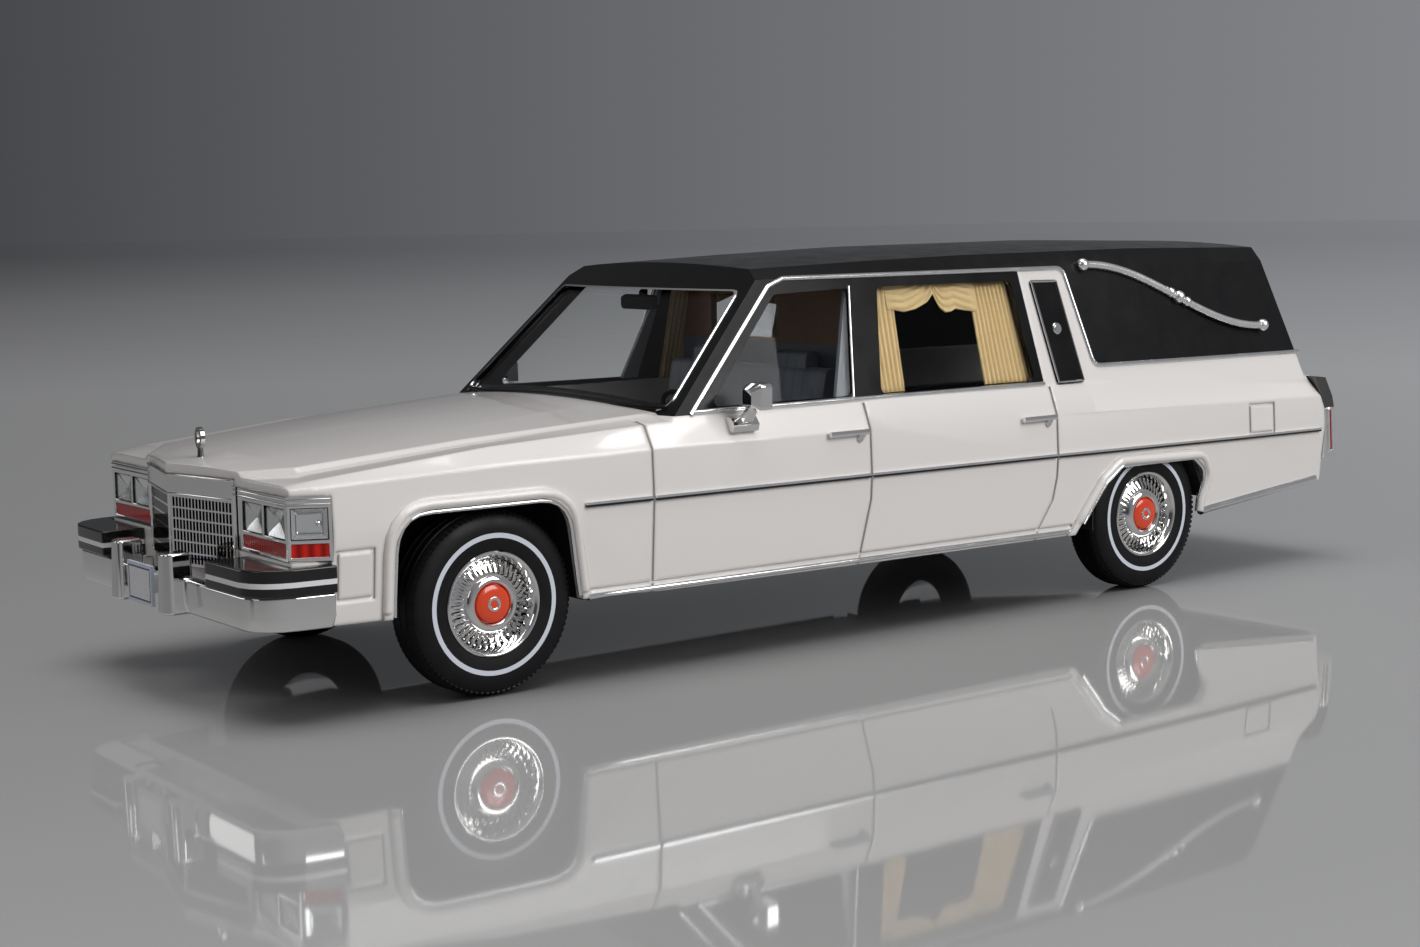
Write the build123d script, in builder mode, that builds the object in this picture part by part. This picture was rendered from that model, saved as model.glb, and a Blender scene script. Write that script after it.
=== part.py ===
"""Collector's scale model of a hearse: one static body on two free-turning axles.

Front is -Y, the car's left is +X, up is +Z, millimetres.
The origin is on the ground, under the middle of the model.
"""
import os
from collections import namedtuple
from build123d import *

os.makedirs("parts", exist_ok=True)

# Main sizes
FRONT_AXLE_Y = -47.3
REAR_AXLE_Y = 38.05
TYRE_R = 8.43
AXLE_Z = TYRE_R
AXLE_R = 0.8
BEARING_CLEARANCE = 0.05
TYRE_IN = 15.85
TYRE_OUT = 20.5
RIM_R = 4.84
BODY_WALL = 1.0
CABIN_WALL = 0.9
SIDE_Z = 16.4
ARCH_IN = 15.0
PLATE_BOTTOM = 7.6
PLATE_TOP = 8.6
WELL_TOP = 18.2
WELL_WALL = 0.6

# Cross sections of the lower body, front to tail: side, fender top, then the raised hood
BodyRow = namedtuple("BodyRow", "y sill_x sill_z side_x crease_x crease_z edge_x edge_z hood_x hood_z step crown_z")
BODY_ROWS = [
    BodyRow(-71.0, 17.6, 8.4, 18.4, 18.2, 19.8, 17.3, 20.1, 9.4, 20.7, 0.4, 21.05),
    BodyRow(-66.5, 18.8, 8.4, 19.5, 19.3, 20.15, 18.3, 20.5, 9.8, 21.0, 0.45, 21.35),
    BodyRow(-63.1, 20.0, 8.4, 20.7, 20.5, 20.45, 19.1, 20.95, 14.0, 21.45, 0.45, 21.95),
    BodyRow(-47.3, 20.7, 8.2, 21.3, 21.1, 20.95, 19.7, 22.45, 15.6, 22.85, 0.35, 23.55),
    BodyRow(-29.0, 20.8, 7.6, 21.4, 21.2, 21.1, 20.0, 23.3, 17.2, 24.0, 0.25, 24.8),
    BodyRow(0.0, 20.8, 7.4, 21.4, 21.2, 20.95, 20.1, 23.85, 17.6, 24.1, 0.1, 24.5),
    BodyRow(29.0, 20.8, 7.3, 21.4, 21.2, 20.55, 20.0, 23.7, 17.4, 24.0, 0.1, 24.4),
    BodyRow(52.0, 20.4, 8.2, 21.1, 20.9, 20.1, 19.5, 23.2, 17.0, 23.5, 0.1, 23.8),
    BodyRow(69.4, 19.8, 9.5, 20.5, 20.3, 19.8, 19.1, 22.1, 16.6, 22.25, 0.08, 22.4),
]
HOOD_SLOPE = 0.7

# Cross sections of the cabin, front to tail
CabinRow = namedtuple("CabinRow", "y base_x trim_x trim_z edge_x edge_z crown_z")
CABIN_ROWS = [
    CabinRow(-32.0, 20.35, 16.5, 36.0, 14.3, 36.5, 37.1),
    CabinRow(-13.0, 20.4, 16.6, 36.2, 14.7, 37.2, 37.8),
    CabinRow(0.0, 20.4, 16.6, 36.2, 15.2, 37.6, 38.35),
    CabinRow(14.0, 20.4, 16.6, 36.2, 15.4, 37.9, 38.8),
    CabinRow(40.0, 20.3, 16.5, 36.2, 15.4, 38.05, 38.95),
    CabinRow(68.0, 19.5, 16.0, 36.1, 15.0, 37.6, 38.3),
]
CABIN_BASE_Z = 22.0
SCREEN_BASE = (-26.9, 24.0)
SCREEN_TOP = (-15.1, 35.1)
SCREEN_BULGE = 1.4
TAIL_BASE = (65.7, 25.5)
TAIL_TOP = (61.9, 38.0)

# Side outlines, each point (y, z)
WHITE_SIDE = [(-40, 10), (-40, 23.8), (22.35, 23.8), (21.4, 36.2), (28.3, 36.2), (30.5, 25.55), (75, 25.3), (75, 10)]
DOOR_SIDE = [(-24.9, 23.8), (-13.0, 35.5), (-11.0, 36.2), (21.4, 36.2), (22.35, 23.8)]
FRONT_GLASS = [(-22.7, 24.3), (-12.4, 34.7), (-2.4, 35.0), (-4.3, 24.3)]
REAR_GLASS = [(-0.85, 24.3), (1.1, 35.0), (20.1, 35.0), (21.1, 24.3)]
COACH_PANEL = [(22.85, 35.0), (26.9, 34.95), (28.4, 23.85), (24.25, 23.85)]
TRIM_LINE = [(-24.9, 23.8), (-13.0, 35.5), (-11.0, 36.2), (28.3, 36.2), (30.5, 25.5), (66.3, 25.2)]
BELT_LINE = [(-24.6, 24.05), (22.3, 24.0)]
POST_LINE = [(-4.55, 24.1), (-2.6, 35.2)]
FRONT_ARCH = [(-57.4, 3), (-57.1, 17.35), (-40.1, 17.35), (-37.75, 3)]
REAR_ARCH = [(22.4, 3), (25.9, 6.8), (30.6, 12.6), (33.0, 14.25), (45.0, 14.15), (47.1, 12.6), (46.3, 9.6), (45.0, 3)]
FRONT_ARCH_CORNER = 3.4
REAR_ARCH_CORNER = 1.3

# Plan outlines, each point (x, y)
GRILLE_HALF = 9.25
GRILLE_APEX_Y = -68.8
GRILLE_EDGE_Y = -66.7
LAMP_FACE_Y = -66.5
LAMP_Z = (14.05, 19.65)


def body_form(inset=0.0, drop=0.0):
    """Solid of the lower body, drawn in by the inset; drop lowers its underside."""
    with BuildPart() as form:
        for row in BODY_ROWS:
            with BuildSketch(Plane.XZ.offset(-row.y)):
                with BuildLine():
                    Polyline(
                        (-row.hood_x, row.hood_z - inset),
                        (-row.hood_x - HOOD_SLOPE, row.hood_z - row.step - inset),
                        (-row.edge_x + inset, row.edge_z - inset),
                        (-row.crease_x + inset, row.crease_z - inset * 0.6),
                        (-row.side_x + inset, SIDE_Z),
                        (-row.sill_x + inset, row.sill_z - drop),
                        (row.sill_x - inset, row.sill_z - drop),
                        (row.side_x - inset, SIDE_Z),
                        (row.crease_x - inset, row.crease_z - inset * 0.6),
                        (row.edge_x - inset, row.edge_z - inset),
                        (row.hood_x + HOOD_SLOPE, row.hood_z - row.step - inset),
                        (row.hood_x, row.hood_z - inset),
                    )
                    ThreePointArc(
                        (row.hood_x, row.hood_z - inset),
                        (0, row.crown_z - inset),
                        (-row.hood_x, row.hood_z - inset),
                    )
                make_face()
        loft(ruled=True)
    return form.part


def screen_plane(inset=0.0):
    """Plane across the windscreen's slope, its y axis pointing into the cabin."""
    slope_y = SCREEN_TOP[0] - SCREEN_BASE[0]
    slope_z = SCREEN_TOP[1] - SCREEN_BASE[1]
    across = Plane(origin=(0, SCREEN_BASE[0], SCREEN_BASE[1]), x_dir=(1, 0, 0), z_dir=(0, slope_y, slope_z))
    return Plane(across.origin + across.y_dir * inset, x_dir=(1, 0, 0), z_dir=across.z_dir)


def cabin_form(inset=0.0, base_z=20.5):
    """Solid of the cabin between windscreen and tailgate, drawn in by the inset."""
    with BuildPart() as form:
        for row in CABIN_ROWS:
            with BuildSketch(Plane.XZ.offset(-row.y)):
                with BuildLine():
                    Polyline(
                        (-row.edge_x + inset * 0.7, row.edge_z - inset),
                        (-row.trim_x + inset, row.trim_z - inset * 0.5),
                        (-row.base_x + inset, CABIN_BASE_Z),
                        (-row.base_x + inset, base_z),
                        (row.base_x - inset, base_z),
                        (row.base_x - inset, CABIN_BASE_Z),
                        (row.trim_x - inset, row.trim_z - inset * 0.5),
                        (row.edge_x - inset * 0.7, row.edge_z - inset),
                    )
                    ThreePointArc(
                        (row.edge_x - inset * 0.7, row.edge_z - inset),
                        (0, row.crown_z - inset),
                        (-row.edge_x + inset * 0.7, row.edge_z - inset),
                    )
                make_face()
        loft(ruled=True)
        with BuildSketch(screen_plane(inset)):
            with BuildLine():
                ThreePointArc((-27, 1.62), (0, -SCREEN_BULGE), (27, 1.62))
                Polyline((27, 1.62), (27, -40), (-27, -40), (-27, 1.62))
            make_face()
        extrude(amount=60, both=True, mode=Mode.SUBTRACT)
        tail_y, tail_z = TAIL_BASE
        lean = (TAIL_TOP[0] - TAIL_BASE[0]) / (TAIL_TOP[1] - TAIL_BASE[1])
        with BuildSketch(Plane.YZ):
            Polygon(
                (tail_y - inset + lean * (5 - tail_z), 5),
                (tail_y - inset + lean * (45 - tail_z), 45),
                (90, 45),
                (90, 5),
                align=None,
            )
        extrude(amount=30, both=True, mode=Mode.SUBTRACT)
    return form.part


def side_prism(points, x0=12.0, x1=26.0, corner=0.0):
    """Pair of prisms with one side outline, on the left and on the right."""
    with BuildPart() as prism:
        with BuildSketch(Plane.YZ.offset(x0)) as outline:
            Polygon(*points, align=None)
            if corner:
                fillet(outline.vertices(), corner)
        extrude(amount=x1 - x0)
        mirror(about=Plane.YZ)
    return prism.part


def line_prism(points, width, x0=12.0, x1=26.0):
    """Pair of prisms along a line of constant width in the side view."""
    with BuildPart() as prism:
        with BuildSketch(Plane.YZ.offset(x0)):
            with BuildLine() as path:
                Polyline(*points)
            trace(path.line, line_width=width)
        extrude(amount=x1 - x0)
        mirror(about=Plane.YZ)
    return prism.part


def grille_plan(depth_front, depth_back, half=GRILLE_HALF):
    """Plan points of the pointed grille between two depths behind its face."""
    return [
        (0, GRILLE_APEX_Y + depth_front),
        (half, GRILLE_EDGE_Y + depth_front),
        (half, GRILLE_EDGE_Y + depth_back),
        (0, GRILLE_APEX_Y + depth_back),
        (-half, GRILLE_EDGE_Y + depth_back),
        (-half, GRILLE_EDGE_Y + depth_front),
    ]


body_out = body_form()
body_in = body_form(BODY_WALL, 4.0)
cabin_out = cabin_form()
cabin_in = cabin_form(CABIN_WALL, 9.0)

with BuildPart() as cabin_wall:
    add(cabin_out)
    add(cabin_in, mode=Mode.SUBTRACT)

# Window openings
with BuildPart() as openings:
    add(side_prism(FRONT_GLASS, corner=0.6))
    add(side_prism(REAR_GLASS, corner=0.6))
SCREEN_PANE = [(-18.4, 24.35), (18.4, 24.35), (15.5, 35.1), (-15.5, 35.1)]
with BuildPart() as screen_opening:
    with BuildSketch(Plane.XZ.offset(5)) as pane:
        Polygon(*SCREEN_PANE, align=None)
        fillet(pane.vertices(), 0.8)
    extrude(amount=40)
with BuildPart() as tail_opening:
    with BuildSketch(Plane.XZ.offset(-55)) as pane:
        Polygon((-12.2, 27.2), (12.2, 27.2), (11.0, 34.6), (-11.0, 34.6), align=None)
        fillet(pane.vertices(), 1.0)
    extrude(amount=-25)

# White body shell
LAMP_CUT = [(9.3, -80), (9.3, -65.3), (18.2, -65.3), (19.47, -63.05), (27, -63.05), (27, -80)]
BUMPER_CUT = [(0, -80), (0, -66.5), (20.0, -66.5), (20.0, -63.2), (27, -63.2), (27, -80)]
PROW_CUT = [(0, -80), (0, -69.0), (9.6, -66.6), (27, -66.3), (27, -80)]
GRILLE_CUT = [(-9.3, -80), (9.3, -80), (9.3, -65.3), (-9.3, -65.3)]
FRONT_DOOR_LINE = [(-30.4, 7.0), (-30.4, 23.5)]
MID_DOOR_LINE = [(-5.1, 7.0), (-4.6, 9.5), (-3.6, 14.0), (-3.6, 23.6)]
REAR_DOOR_LINE = [(19.9, 7.0), (20.4, 8.5), (22.4, 11.5), (22.9, 14.0), (22.9, 23.6)]
SILL_LINE = [(-38.6, 8.6), (25.6, 8.4)]
FILLER_DOOR = [(55.1, 16.3), (55.1, 19.6), (59.6, 19.5), (59.6, 16.2), (55.1, 16.3)]
FENDER_PANEL = [(-62.7, 10.5), (-62.7, 14.7), (-59.3, 14.7), (-59.3, 10.5), (-62.7, 10.5)]
GROOVE_W = 0.3
GROOVE_DEEP = 0.2
ARCH_TRIM_W = 0.3
LIP_W = 1.15
LIP_OUT = 0.32
SKIRT_IN = 20.85
TAIL_LAMP_CUT = [(67.35, 24), (67.35, 22.2), (68.8, 19.75), (69.42, 18.3), (69.42, 11), (75, 11), (75, 24)]

with BuildPart() as body_hollow:
    add(body_in)
    with BuildSketch(Plane.XY):
        with Locations((0, 2.05)):
            Rectangle(60, 132.5)
    extrude(amount=40, mode=Mode.INTERSECT)

groove_floor = body_form(GROOVE_DEEP)
with BuildPart() as grooves:
    for line in (FRONT_DOOR_LINE, MID_DOOR_LINE, REAR_DOOR_LINE, SILL_LINE, FILLER_DOOR, FENDER_PANEL):
        add(line_prism(line, GROOVE_W))
    add(groove_floor, mode=Mode.SUBTRACT)



def arch_prism(grow, x0=18.0, x1=26.0):
    """Prisms of the four wheel arch outlines, grown by an even margin."""
    with BuildPart() as prism:
        with BuildSketch(Plane.YZ.offset(x0)) as outline:
            Polygon(*FRONT_ARCH, align=None)
            fillet(outline.vertices(), FRONT_ARCH_CORNER)
            if grow:
                offset(amount=grow, kind=Kind.INTERSECTION)
        extrude(amount=x1 - x0)
        with BuildSketch(Plane.YZ.offset(x0)) as outline:
            Polygon(*REAR_ARCH, align=None)
            fillet(outline.vertices(), REAR_ARCH_CORNER)
            if grow:
                offset(amount=grow, kind=Kind.INTERSECTION)
        extrude(amount=x1 - x0)
        mirror(about=Plane.YZ)
    return prism.part


with BuildPart() as lips:
    add(body_form(-LIP_OUT))
    add(arch_prism(LIP_W), mode=Mode.INTERSECT)
    add(body_in, mode=Mode.SUBTRACT)

with BuildPart() as body_shell:
    add(body_out)
    add(body_hollow.part, mode=Mode.SUBTRACT)
    with BuildPart(mode=Mode.PRIVATE) as white_cabin:
        add(cabin_wall.part)
        add(side_prism(WHITE_SIDE, 0.0, 26.0), mode=Mode.INTERSECT)
    add(white_cabin.part)
    add(cabin_in, mode=Mode.SUBTRACT)
    add(grooves.part, mode=Mode.SUBTRACT)
    add(lips.part)
    add(arch_prism(ARCH_TRIM_W, 14.0), mode=Mode.SUBTRACT)
    add(side_prism(TAIL_LAMP_CUT, 18.08), mode=Mode.SUBTRACT)
    with BuildSketch(Plane.YZ.offset(-SKIRT_IN)):
        with Locations((REAR_AXLE_Y, AXLE_Z)):
            Circle(TYRE_R + 0.8)
    extrude(amount=2 * SKIRT_IN, mode=Mode.SUBTRACT)
    with BuildSketch(Plane.XY.offset(-1)):
        Polygon(*PROW_CUT, align=None)
        mirror(about=Plane.YZ)
    extrude(amount=40, mode=Mode.SUBTRACT)
    with BuildSketch(Plane.XY.offset(LAMP_Z[0] - 0.03)):
        Polygon(*LAMP_CUT, align=None)
        mirror(about=Plane.YZ)
    extrude(amount=LAMP_Z[1] - LAMP_Z[0] + 0.06, mode=Mode.SUBTRACT)
    with BuildSketch(Plane.XY.offset(-1)):
        Polygon(*GRILLE_CUT, align=None)
    extrude(amount=21.35, mode=Mode.SUBTRACT)
    with BuildSketch(Plane.XY.offset(-1)):
        Polygon(*BUMPER_CUT, align=None)
        mirror(about=Plane.YZ)
    extrude(amount=LAMP_Z[0] + 0.98, mode=Mode.SUBTRACT)
body_shell.part.label = "body_shell"
export_step(body_shell.part, "parts/body_shell.step")

# Bright trim round the wheel arches and along the sills
SillRow = namedtuple("SillRow", "y0 z0 y1 z1 width")
SILLS = [SillRow(-37.9, 8.0, 25.9, 7.75, 0.7), SillRow(46.8, 8.35, 68.6, 9.75, 0.5)]
with BuildPart() as lower_trims:
    add(body_form(-LIP_OUT + 0.1))
    with BuildPart(mode=Mode.PRIVATE) as arch_band:
        add(arch_prism(ARCH_TRIM_W - 0.01))
        add(arch_prism(0.0), mode=Mode.SUBTRACT)
    add(arch_band.part, mode=Mode.INTERSECT)
    add(body_in, mode=Mode.SUBTRACT)
    with BuildPart(mode=Mode.PRIVATE) as sill_band:
        add(body_form(-0.14))
        with BuildPart(mode=Mode.PRIVATE) as sill_lines:
            for row in SILLS:
                add(line_prism([(row.y0, row.z0), (row.y1, row.z1)], row.width))
        add(sill_lines.part, mode=Mode.INTERSECT)
        add(body_out, mode=Mode.SUBTRACT)
        add(arch_prism(LIP_W + 0.02), mode=Mode.SUBTRACT)
    add(sill_band.part)
    with BuildSketch(Plane.YZ.offset(-SKIRT_IN)):
        with Locations((REAR_AXLE_Y, AXLE_Z)):
            Circle(TYRE_R + 0.8)
    extrude(amount=2 * SKIRT_IN, mode=Mode.SUBTRACT)
    add(body_shell.part, mode=Mode.SUBTRACT)
lower_trims.part.label = "lower_trims"
export_step(lower_trims.part, "parts/lower_trims.step")

# Black roof with the windscreen pillars
with BuildPart() as roof_shell:
    add(cabin_wall.part)
    add(side_prism(WHITE_SIDE, 0.0, 26.0), mode=Mode.SUBTRACT)
    add(side_prism(DOOR_SIDE), mode=Mode.SUBTRACT)
    add(screen_opening.part, mode=Mode.SUBTRACT)
    add(tail_opening.part, mode=Mode.SUBTRACT)
    add(body_shell.part, mode=Mode.SUBTRACT)
roof_shell.part.label = "roof_shell"
export_step(roof_shell.part, "parts/roof_shell.step")

# Black door frames with the middle pillar
with BuildPart() as door_frames:
    add(cabin_wall.part)
    add(side_prism(DOOR_SIDE), mode=Mode.INTERSECT)
    add(openings.part, mode=Mode.SUBTRACT)
    add(body_shell.part, mode=Mode.SUBTRACT)
door_frames.part.label = "door_frames"
export_step(door_frames.part, "parts/door_frames.step")

# Glass, set into the wall of the cabin
GLASS_OUT = 0.2
GLASS_IN = 0.65
glass_out = cabin_form(GLASS_OUT)
glass_in = cabin_form(GLASS_IN)
with BuildPart() as windscreen:
    add(glass_out)
    add(glass_in, mode=Mode.SUBTRACT)
    add(screen_opening.part, mode=Mode.INTERSECT)
    add(body_shell.part, mode=Mode.SUBTRACT)
windscreen.part.label = "windscreen"
export_step(windscreen.part, "parts/windscreen.step")

with BuildPart() as front_door_glass:
    add(glass_out)
    add(glass_in, mode=Mode.SUBTRACT)
    add(side_prism(FRONT_GLASS, corner=0.6), mode=Mode.INTERSECT)
front_door_glass.part.label = "front_door_glass"
export_step(front_door_glass.part, "parts/front_door_glass.step")

with BuildPart() as rear_door_glass:
    add(glass_out)
    add(glass_in, mode=Mode.SUBTRACT)
    add(side_prism(REAR_GLASS, corner=0.6), mode=Mode.INTERSECT)
rear_door_glass.part.label = "rear_door_glass"
export_step(rear_door_glass.part, "parts/rear_door_glass.step")

with BuildPart() as tailgate_glass:
    add(glass_out)
    add(glass_in, mode=Mode.SUBTRACT)
    add(tail_opening.part, mode=Mode.INTERSECT)
tailgate_glass.part.label = "tailgate_glass"
export_step(tailgate_glass.part, "parts/tailgate_glass.step")

# Drapes behind the rear door glass, drawn back from the middle
DRAPE_OUTLINE = [(-0.9, 23.9), (-0.9, 35.2), (21.3, 35.2), (22.0, 23.9)]
DRAPE_GAP = [
    (3.2, 20), (3.3, 24), (3.8, 32.3), (6.5, 32.5), (8.3, 33.1), (9.3, 33.9), (9.8, 32.8), (10.6, 32.1), (12.0, 32.3),
    (14.8, 31.8), (14.7, 24), (14.7, 20),
]
with BuildPart() as drapes:
    add(cabin_form(1.0))
    add(cabin_form(1.5), mode=Mode.SUBTRACT)
    add(side_prism(DRAPE_OUTLINE), mode=Mode.INTERSECT)
    add(side_prism(DRAPE_GAP), mode=Mode.SUBTRACT)
drapes.part.label = "drapes"
export_step(drapes.part, "parts/drapes.step")

# Raised trim that follows the outside of the cabin
TRIM_W = 0.62
TRIM_OUT = 0.25
trim_form = cabin_form(-TRIM_OUT)
with BuildPart() as roof_trims:
    add(trim_form)
    with BuildPart(mode=Mode.PRIVATE) as trim_lines:
        add(line_prism(TRIM_LINE, TRIM_W))
        add(line_prism(BELT_LINE, 0.42))
        add(line_prism(POST_LINE, 0.36))
    add(trim_lines.part, mode=Mode.INTERSECT)
    add(cabin_out, mode=Mode.SUBTRACT)
    add(body_out, mode=Mode.SUBTRACT)
roof_trims.part.label = "roof_trims"
export_step(roof_trims.part, "parts/roof_trims.step")

with BuildPart() as screen_trim:
    add(cabin_form(-0.14))
    with BuildPart(mode=Mode.PRIVATE) as screen_band:
        with BuildSketch(Plane.XZ.offset(5)) as pane:
            Polygon(*SCREEN_PANE, align=None)
            fillet(pane.vertices(), 0.8)
            offset(amount=0.16, kind=Kind.INTERSECTION)
        extrude(amount=40)
        with BuildSketch(Plane.XZ.offset(5)):
            with Locations((0, 24.0)):
                Rectangle(34.6, 2.4)
        extrude(amount=40, mode=Mode.SUBTRACT)
    add(screen_band.part, mode=Mode.INTERSECT)
    add(screen_opening.part, mode=Mode.SUBTRACT)
    add(cabin_out, mode=Mode.SUBTRACT)
    add(body_out, mode=Mode.SUBTRACT)
screen_trim.part.label = "screen_trim"
export_step(screen_trim.part, "parts/screen_trim.step")

with BuildPart() as coach_panels:
    add(trim_form)
    add(side_prism(COACH_PANEL, corner=0.4), mode=Mode.INTERSECT)
    add(cabin_out, mode=Mode.SUBTRACT)
    add(body_out, mode=Mode.SUBTRACT)
    add(roof_trims.part, mode=Mode.SUBTRACT)
coach_panels.part.label = "coach_panels"
export_step(coach_panels.part, "parts/coach_panels.step")

# Side mouldings, parted at the door lines
MouldingRow = namedtuple("MouldingRow", "y0 y1 z0 z1")
MOULDINGS = [
    MouldingRow(-38.0, -30.6, 16.6, 16.57),
    MouldingRow(-30.2, -3.8, 16.56, 16.44),
    MouldingRow(-3.4, 22.7, 16.43, 16.3),
    MouldingRow(23.1, 68.5, 16.28, 15.8),
]
MOULDING_H = 0.44
moulding_form = body_form(-0.28)
with BuildPart() as side_mouldings:
    add(moulding_form)
    with BuildPart(mode=Mode.PRIVATE) as moulding_band:
        for row in MOULDINGS:
            add(line_prism([(row.y0, row.z0), (row.y1, row.z1)], MOULDING_H))
    add(moulding_band.part, mode=Mode.INTERSECT)
    add(body_out, mode=Mode.SUBTRACT)
    add(arch_prism(LIP_W + 0.02), mode=Mode.SUBTRACT)
side_mouldings.part.label = "side_mouldings"
export_step(side_mouldings.part, "parts/side_mouldings.step")

# Landau bars, one on each rear side panel
BAR_R = 0.36
BAR_ENDS = [(-13.6, 3.85), (14.6, -4.2)]
BAR_BOSS = [(-0.35, 0.32, 0.5), (1.0, -0.33, 0.72), (2.35, -0.98, 0.5)]
bar_plane = Plane(origin=(17.72, 45.0, 32.7), x_dir=(0, 1, 0), z_dir=(1, 0, 0.27))
with BuildPart() as landau_bars:
    with BuildLine(bar_plane) as bar_path:
        curve = Bezier(BAR_ENDS[0], (-3.0, 4.0), (3.9, -4.2), BAR_ENDS[1])
    with BuildSketch(Plane(origin=curve @ 0, z_dir=curve % 0)):
        Circle(BAR_R)
    sweep()
    with Locations(bar_plane):
        for x, y in BAR_ENDS:
            with Locations((x, y, 0)):
                Sphere(0.62)
        for x, y, radius in BAR_BOSS:
            with Locations((x, y, 0)):
                Sphere(radius)
    mirror(about=Plane.YZ)
    add(cabin_out, mode=Mode.SUBTRACT)
landau_bars.part.label = "landau_bars"
export_step(landau_bars.part, "parts/landau_bars.step")

# Pointed grille: header above, rows of fine slots below
GRILLE_Z = (12.05, 20.3)
HEADER_Z = 18.4
SLOT_COLUMNS = 18
SLOT_ROWS = 6
grille_run = (GRILLE_HALF**2 + (GRILLE_EDGE_Y - GRILLE_APEX_Y) ** 2) ** 0.5
slot_pitch_x = (grille_run - 0.8) / SLOT_COLUMNS
slot_pitch_z = (HEADER_Z - GRILLE_Z[0] - 0.3) / SLOT_ROWS
grille_face = Plane(
    origin=(GRILLE_HALF / 2, (GRILLE_APEX_Y + GRILLE_EDGE_Y) / 2, 0),
    x_dir=(GRILLE_HALF, GRILLE_EDGE_Y - GRILLE_APEX_Y, 0),
    z_dir=(GRILLE_EDGE_Y - GRILLE_APEX_Y, -GRILLE_HALF, 0),
)
with BuildPart() as grille:
    with BuildSketch(Plane.XY.offset(GRILLE_Z[0])):
        Polygon(
            (0, GRILLE_APEX_Y),
            (GRILLE_HALF, GRILLE_EDGE_Y),
            (GRILLE_HALF, -65.35),
            (-GRILLE_HALF, -65.35),
            (-GRILLE_HALF, GRILLE_EDGE_Y),
            align=None,
        )
    extrude(amount=GRILLE_Z[1] - GRILLE_Z[0])
    with BuildSketch(Plane.XY.offset(HEADER_Z)):
        Polygon(*grille_plan(-0.2, 0.4), align=None)
    extrude(amount=GRILLE_Z[1] - HEADER_Z)
    with BuildSketch(grille_face):
        with Locations((0, (GRILLE_Z[0] + HEADER_Z) / 2)):
            with GridLocations(slot_pitch_x, slot_pitch_z, SLOT_COLUMNS, SLOT_ROWS):
                Rectangle(slot_pitch_x - 0.17, slot_pitch_z - 0.16)
    extrude(amount=-0.5, mode=Mode.SUBTRACT)
    split(bisect_by=Plane.YZ, keep=Keep.TOP)
    mirror(about=Plane.YZ)
grille.part.label = "grille"
export_step(grille.part, "parts/grille.step")

# Lamp units on the front corners
LAMP_PLAN = [(9.45, -66.5), (19.0, -66.5), (20.65, -63.1), (19.55, -63.1), (18.25, -65.35), (9.45, -65.35)]
LensRow = namedtuple("LensRow", "u0 u1 z0 z1")
HEADLAMPS = [LensRow(10.35, 14.1, 15.95, 18.55), LensRow(14.6, 18.5, 15.95, 18.55)]
FRONT_MARKER = LensRow(10.2, 18.6, 14.45, 15.6)
CORNER_LAMP = LensRow(-1.6, 1.55, 15.95, 18.65)
CORNER_MARKER = LensRow(-1.6, 1.55, 14.45, 15.6)
front_face = Plane.XZ.offset(66.5)
corner_face = Plane(origin=(19.825, -64.8, 0), x_dir=(1.65, 3.4, 0), z_dir=(3.4, -1.65, 0))


def lens_pair(rows, face, depth, proud=0.0):
    """Lenses let into one face of the left lamp unit, and their mirror twins."""
    with BuildPart() as lens:
        with BuildSketch(face.offset(proud)):
            for row in rows:
                with Locations(((row.u0 + row.u1) / 2, (row.z0 + row.z1) / 2)):
                    Rectangle(row.u1 - row.u0, row.z1 - row.z0)
        extrude(amount=-(depth + proud))
        mirror(about=Plane.YZ)
    return lens.part


with BuildPart() as headlamp_lenses:
    add(lens_pair(HEADLAMPS, front_face, 0.55, -0.12))
    add(lens_pair([CORNER_LAMP], corner_face, 0.55, -0.12))
headlamp_lenses.part.label = "headlamp_lenses"
export_step(headlamp_lenses.part, "parts/headlamp_lenses.step")

with BuildPart() as marker_lenses:
    add(lens_pair([FRONT_MARKER], front_face, 0.55, -0.1))
    add(lens_pair([CORNER_MARKER], corner_face, 0.55, -0.1))
marker_lenses.part.label = "marker_lenses"
export_step(marker_lenses.part, "parts/marker_lenses.step")

with BuildPart() as lamp_bezels:
    with BuildSketch(Plane.XY.offset(LAMP_Z[0])):
        Polygon(*LAMP_PLAN, align=None)
        mirror(about=Plane.YZ)
    extrude(amount=LAMP_Z[1] - LAMP_Z[0])
    add(lens_pair(HEADLAMPS + [FRONT_MARKER], front_face, 0.55, 0.3), mode=Mode.SUBTRACT)
    add(lens_pair([CORNER_LAMP, CORNER_MARKER], corner_face, 0.55, 0.3), mode=Mode.SUBTRACT)
lamp_bezels.part.label = "lamp_bezels"
export_step(lamp_bezels.part, "parts/lamp_bezels.step")

# Front bumper with two overriders, a rubber strip and a blank plate
BUMPER_Z = (8.45, 11.5, 13.85)
BUMPER_CHIN = 9.6
STRIP_END_X = 11.5
BUMPER_PLAN = [
    (0, -70.45), (17.7, -70.35), (18.95, -69.95), (19.9, -69.15), (20.6, -68.05), (20.95, -66.8), (21.3, -63.25),
    (20.05, -63.25), (20.05, -66.55), (9.6, -66.55), (9.6, -69.0), (0, -69.0),
]
STRIP_PLAN = [
    (STRIP_END_X, -70.75), (17.9, -70.62), (19.2, -70.2), (20.2, -69.4), (20.9, -68.3), (21.25, -67.0), (21.6, -63.25),
    (20.05, -63.25), (20.05, -66.55), (STRIP_END_X, -66.55),
]
OVERRIDER_PLAN = [(4.2, -69.5), (4.2, -71.9), (4.7, -72.3), (6.0, -72.3), (6.6, -71.7), (6.6, -69.5)]
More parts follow.
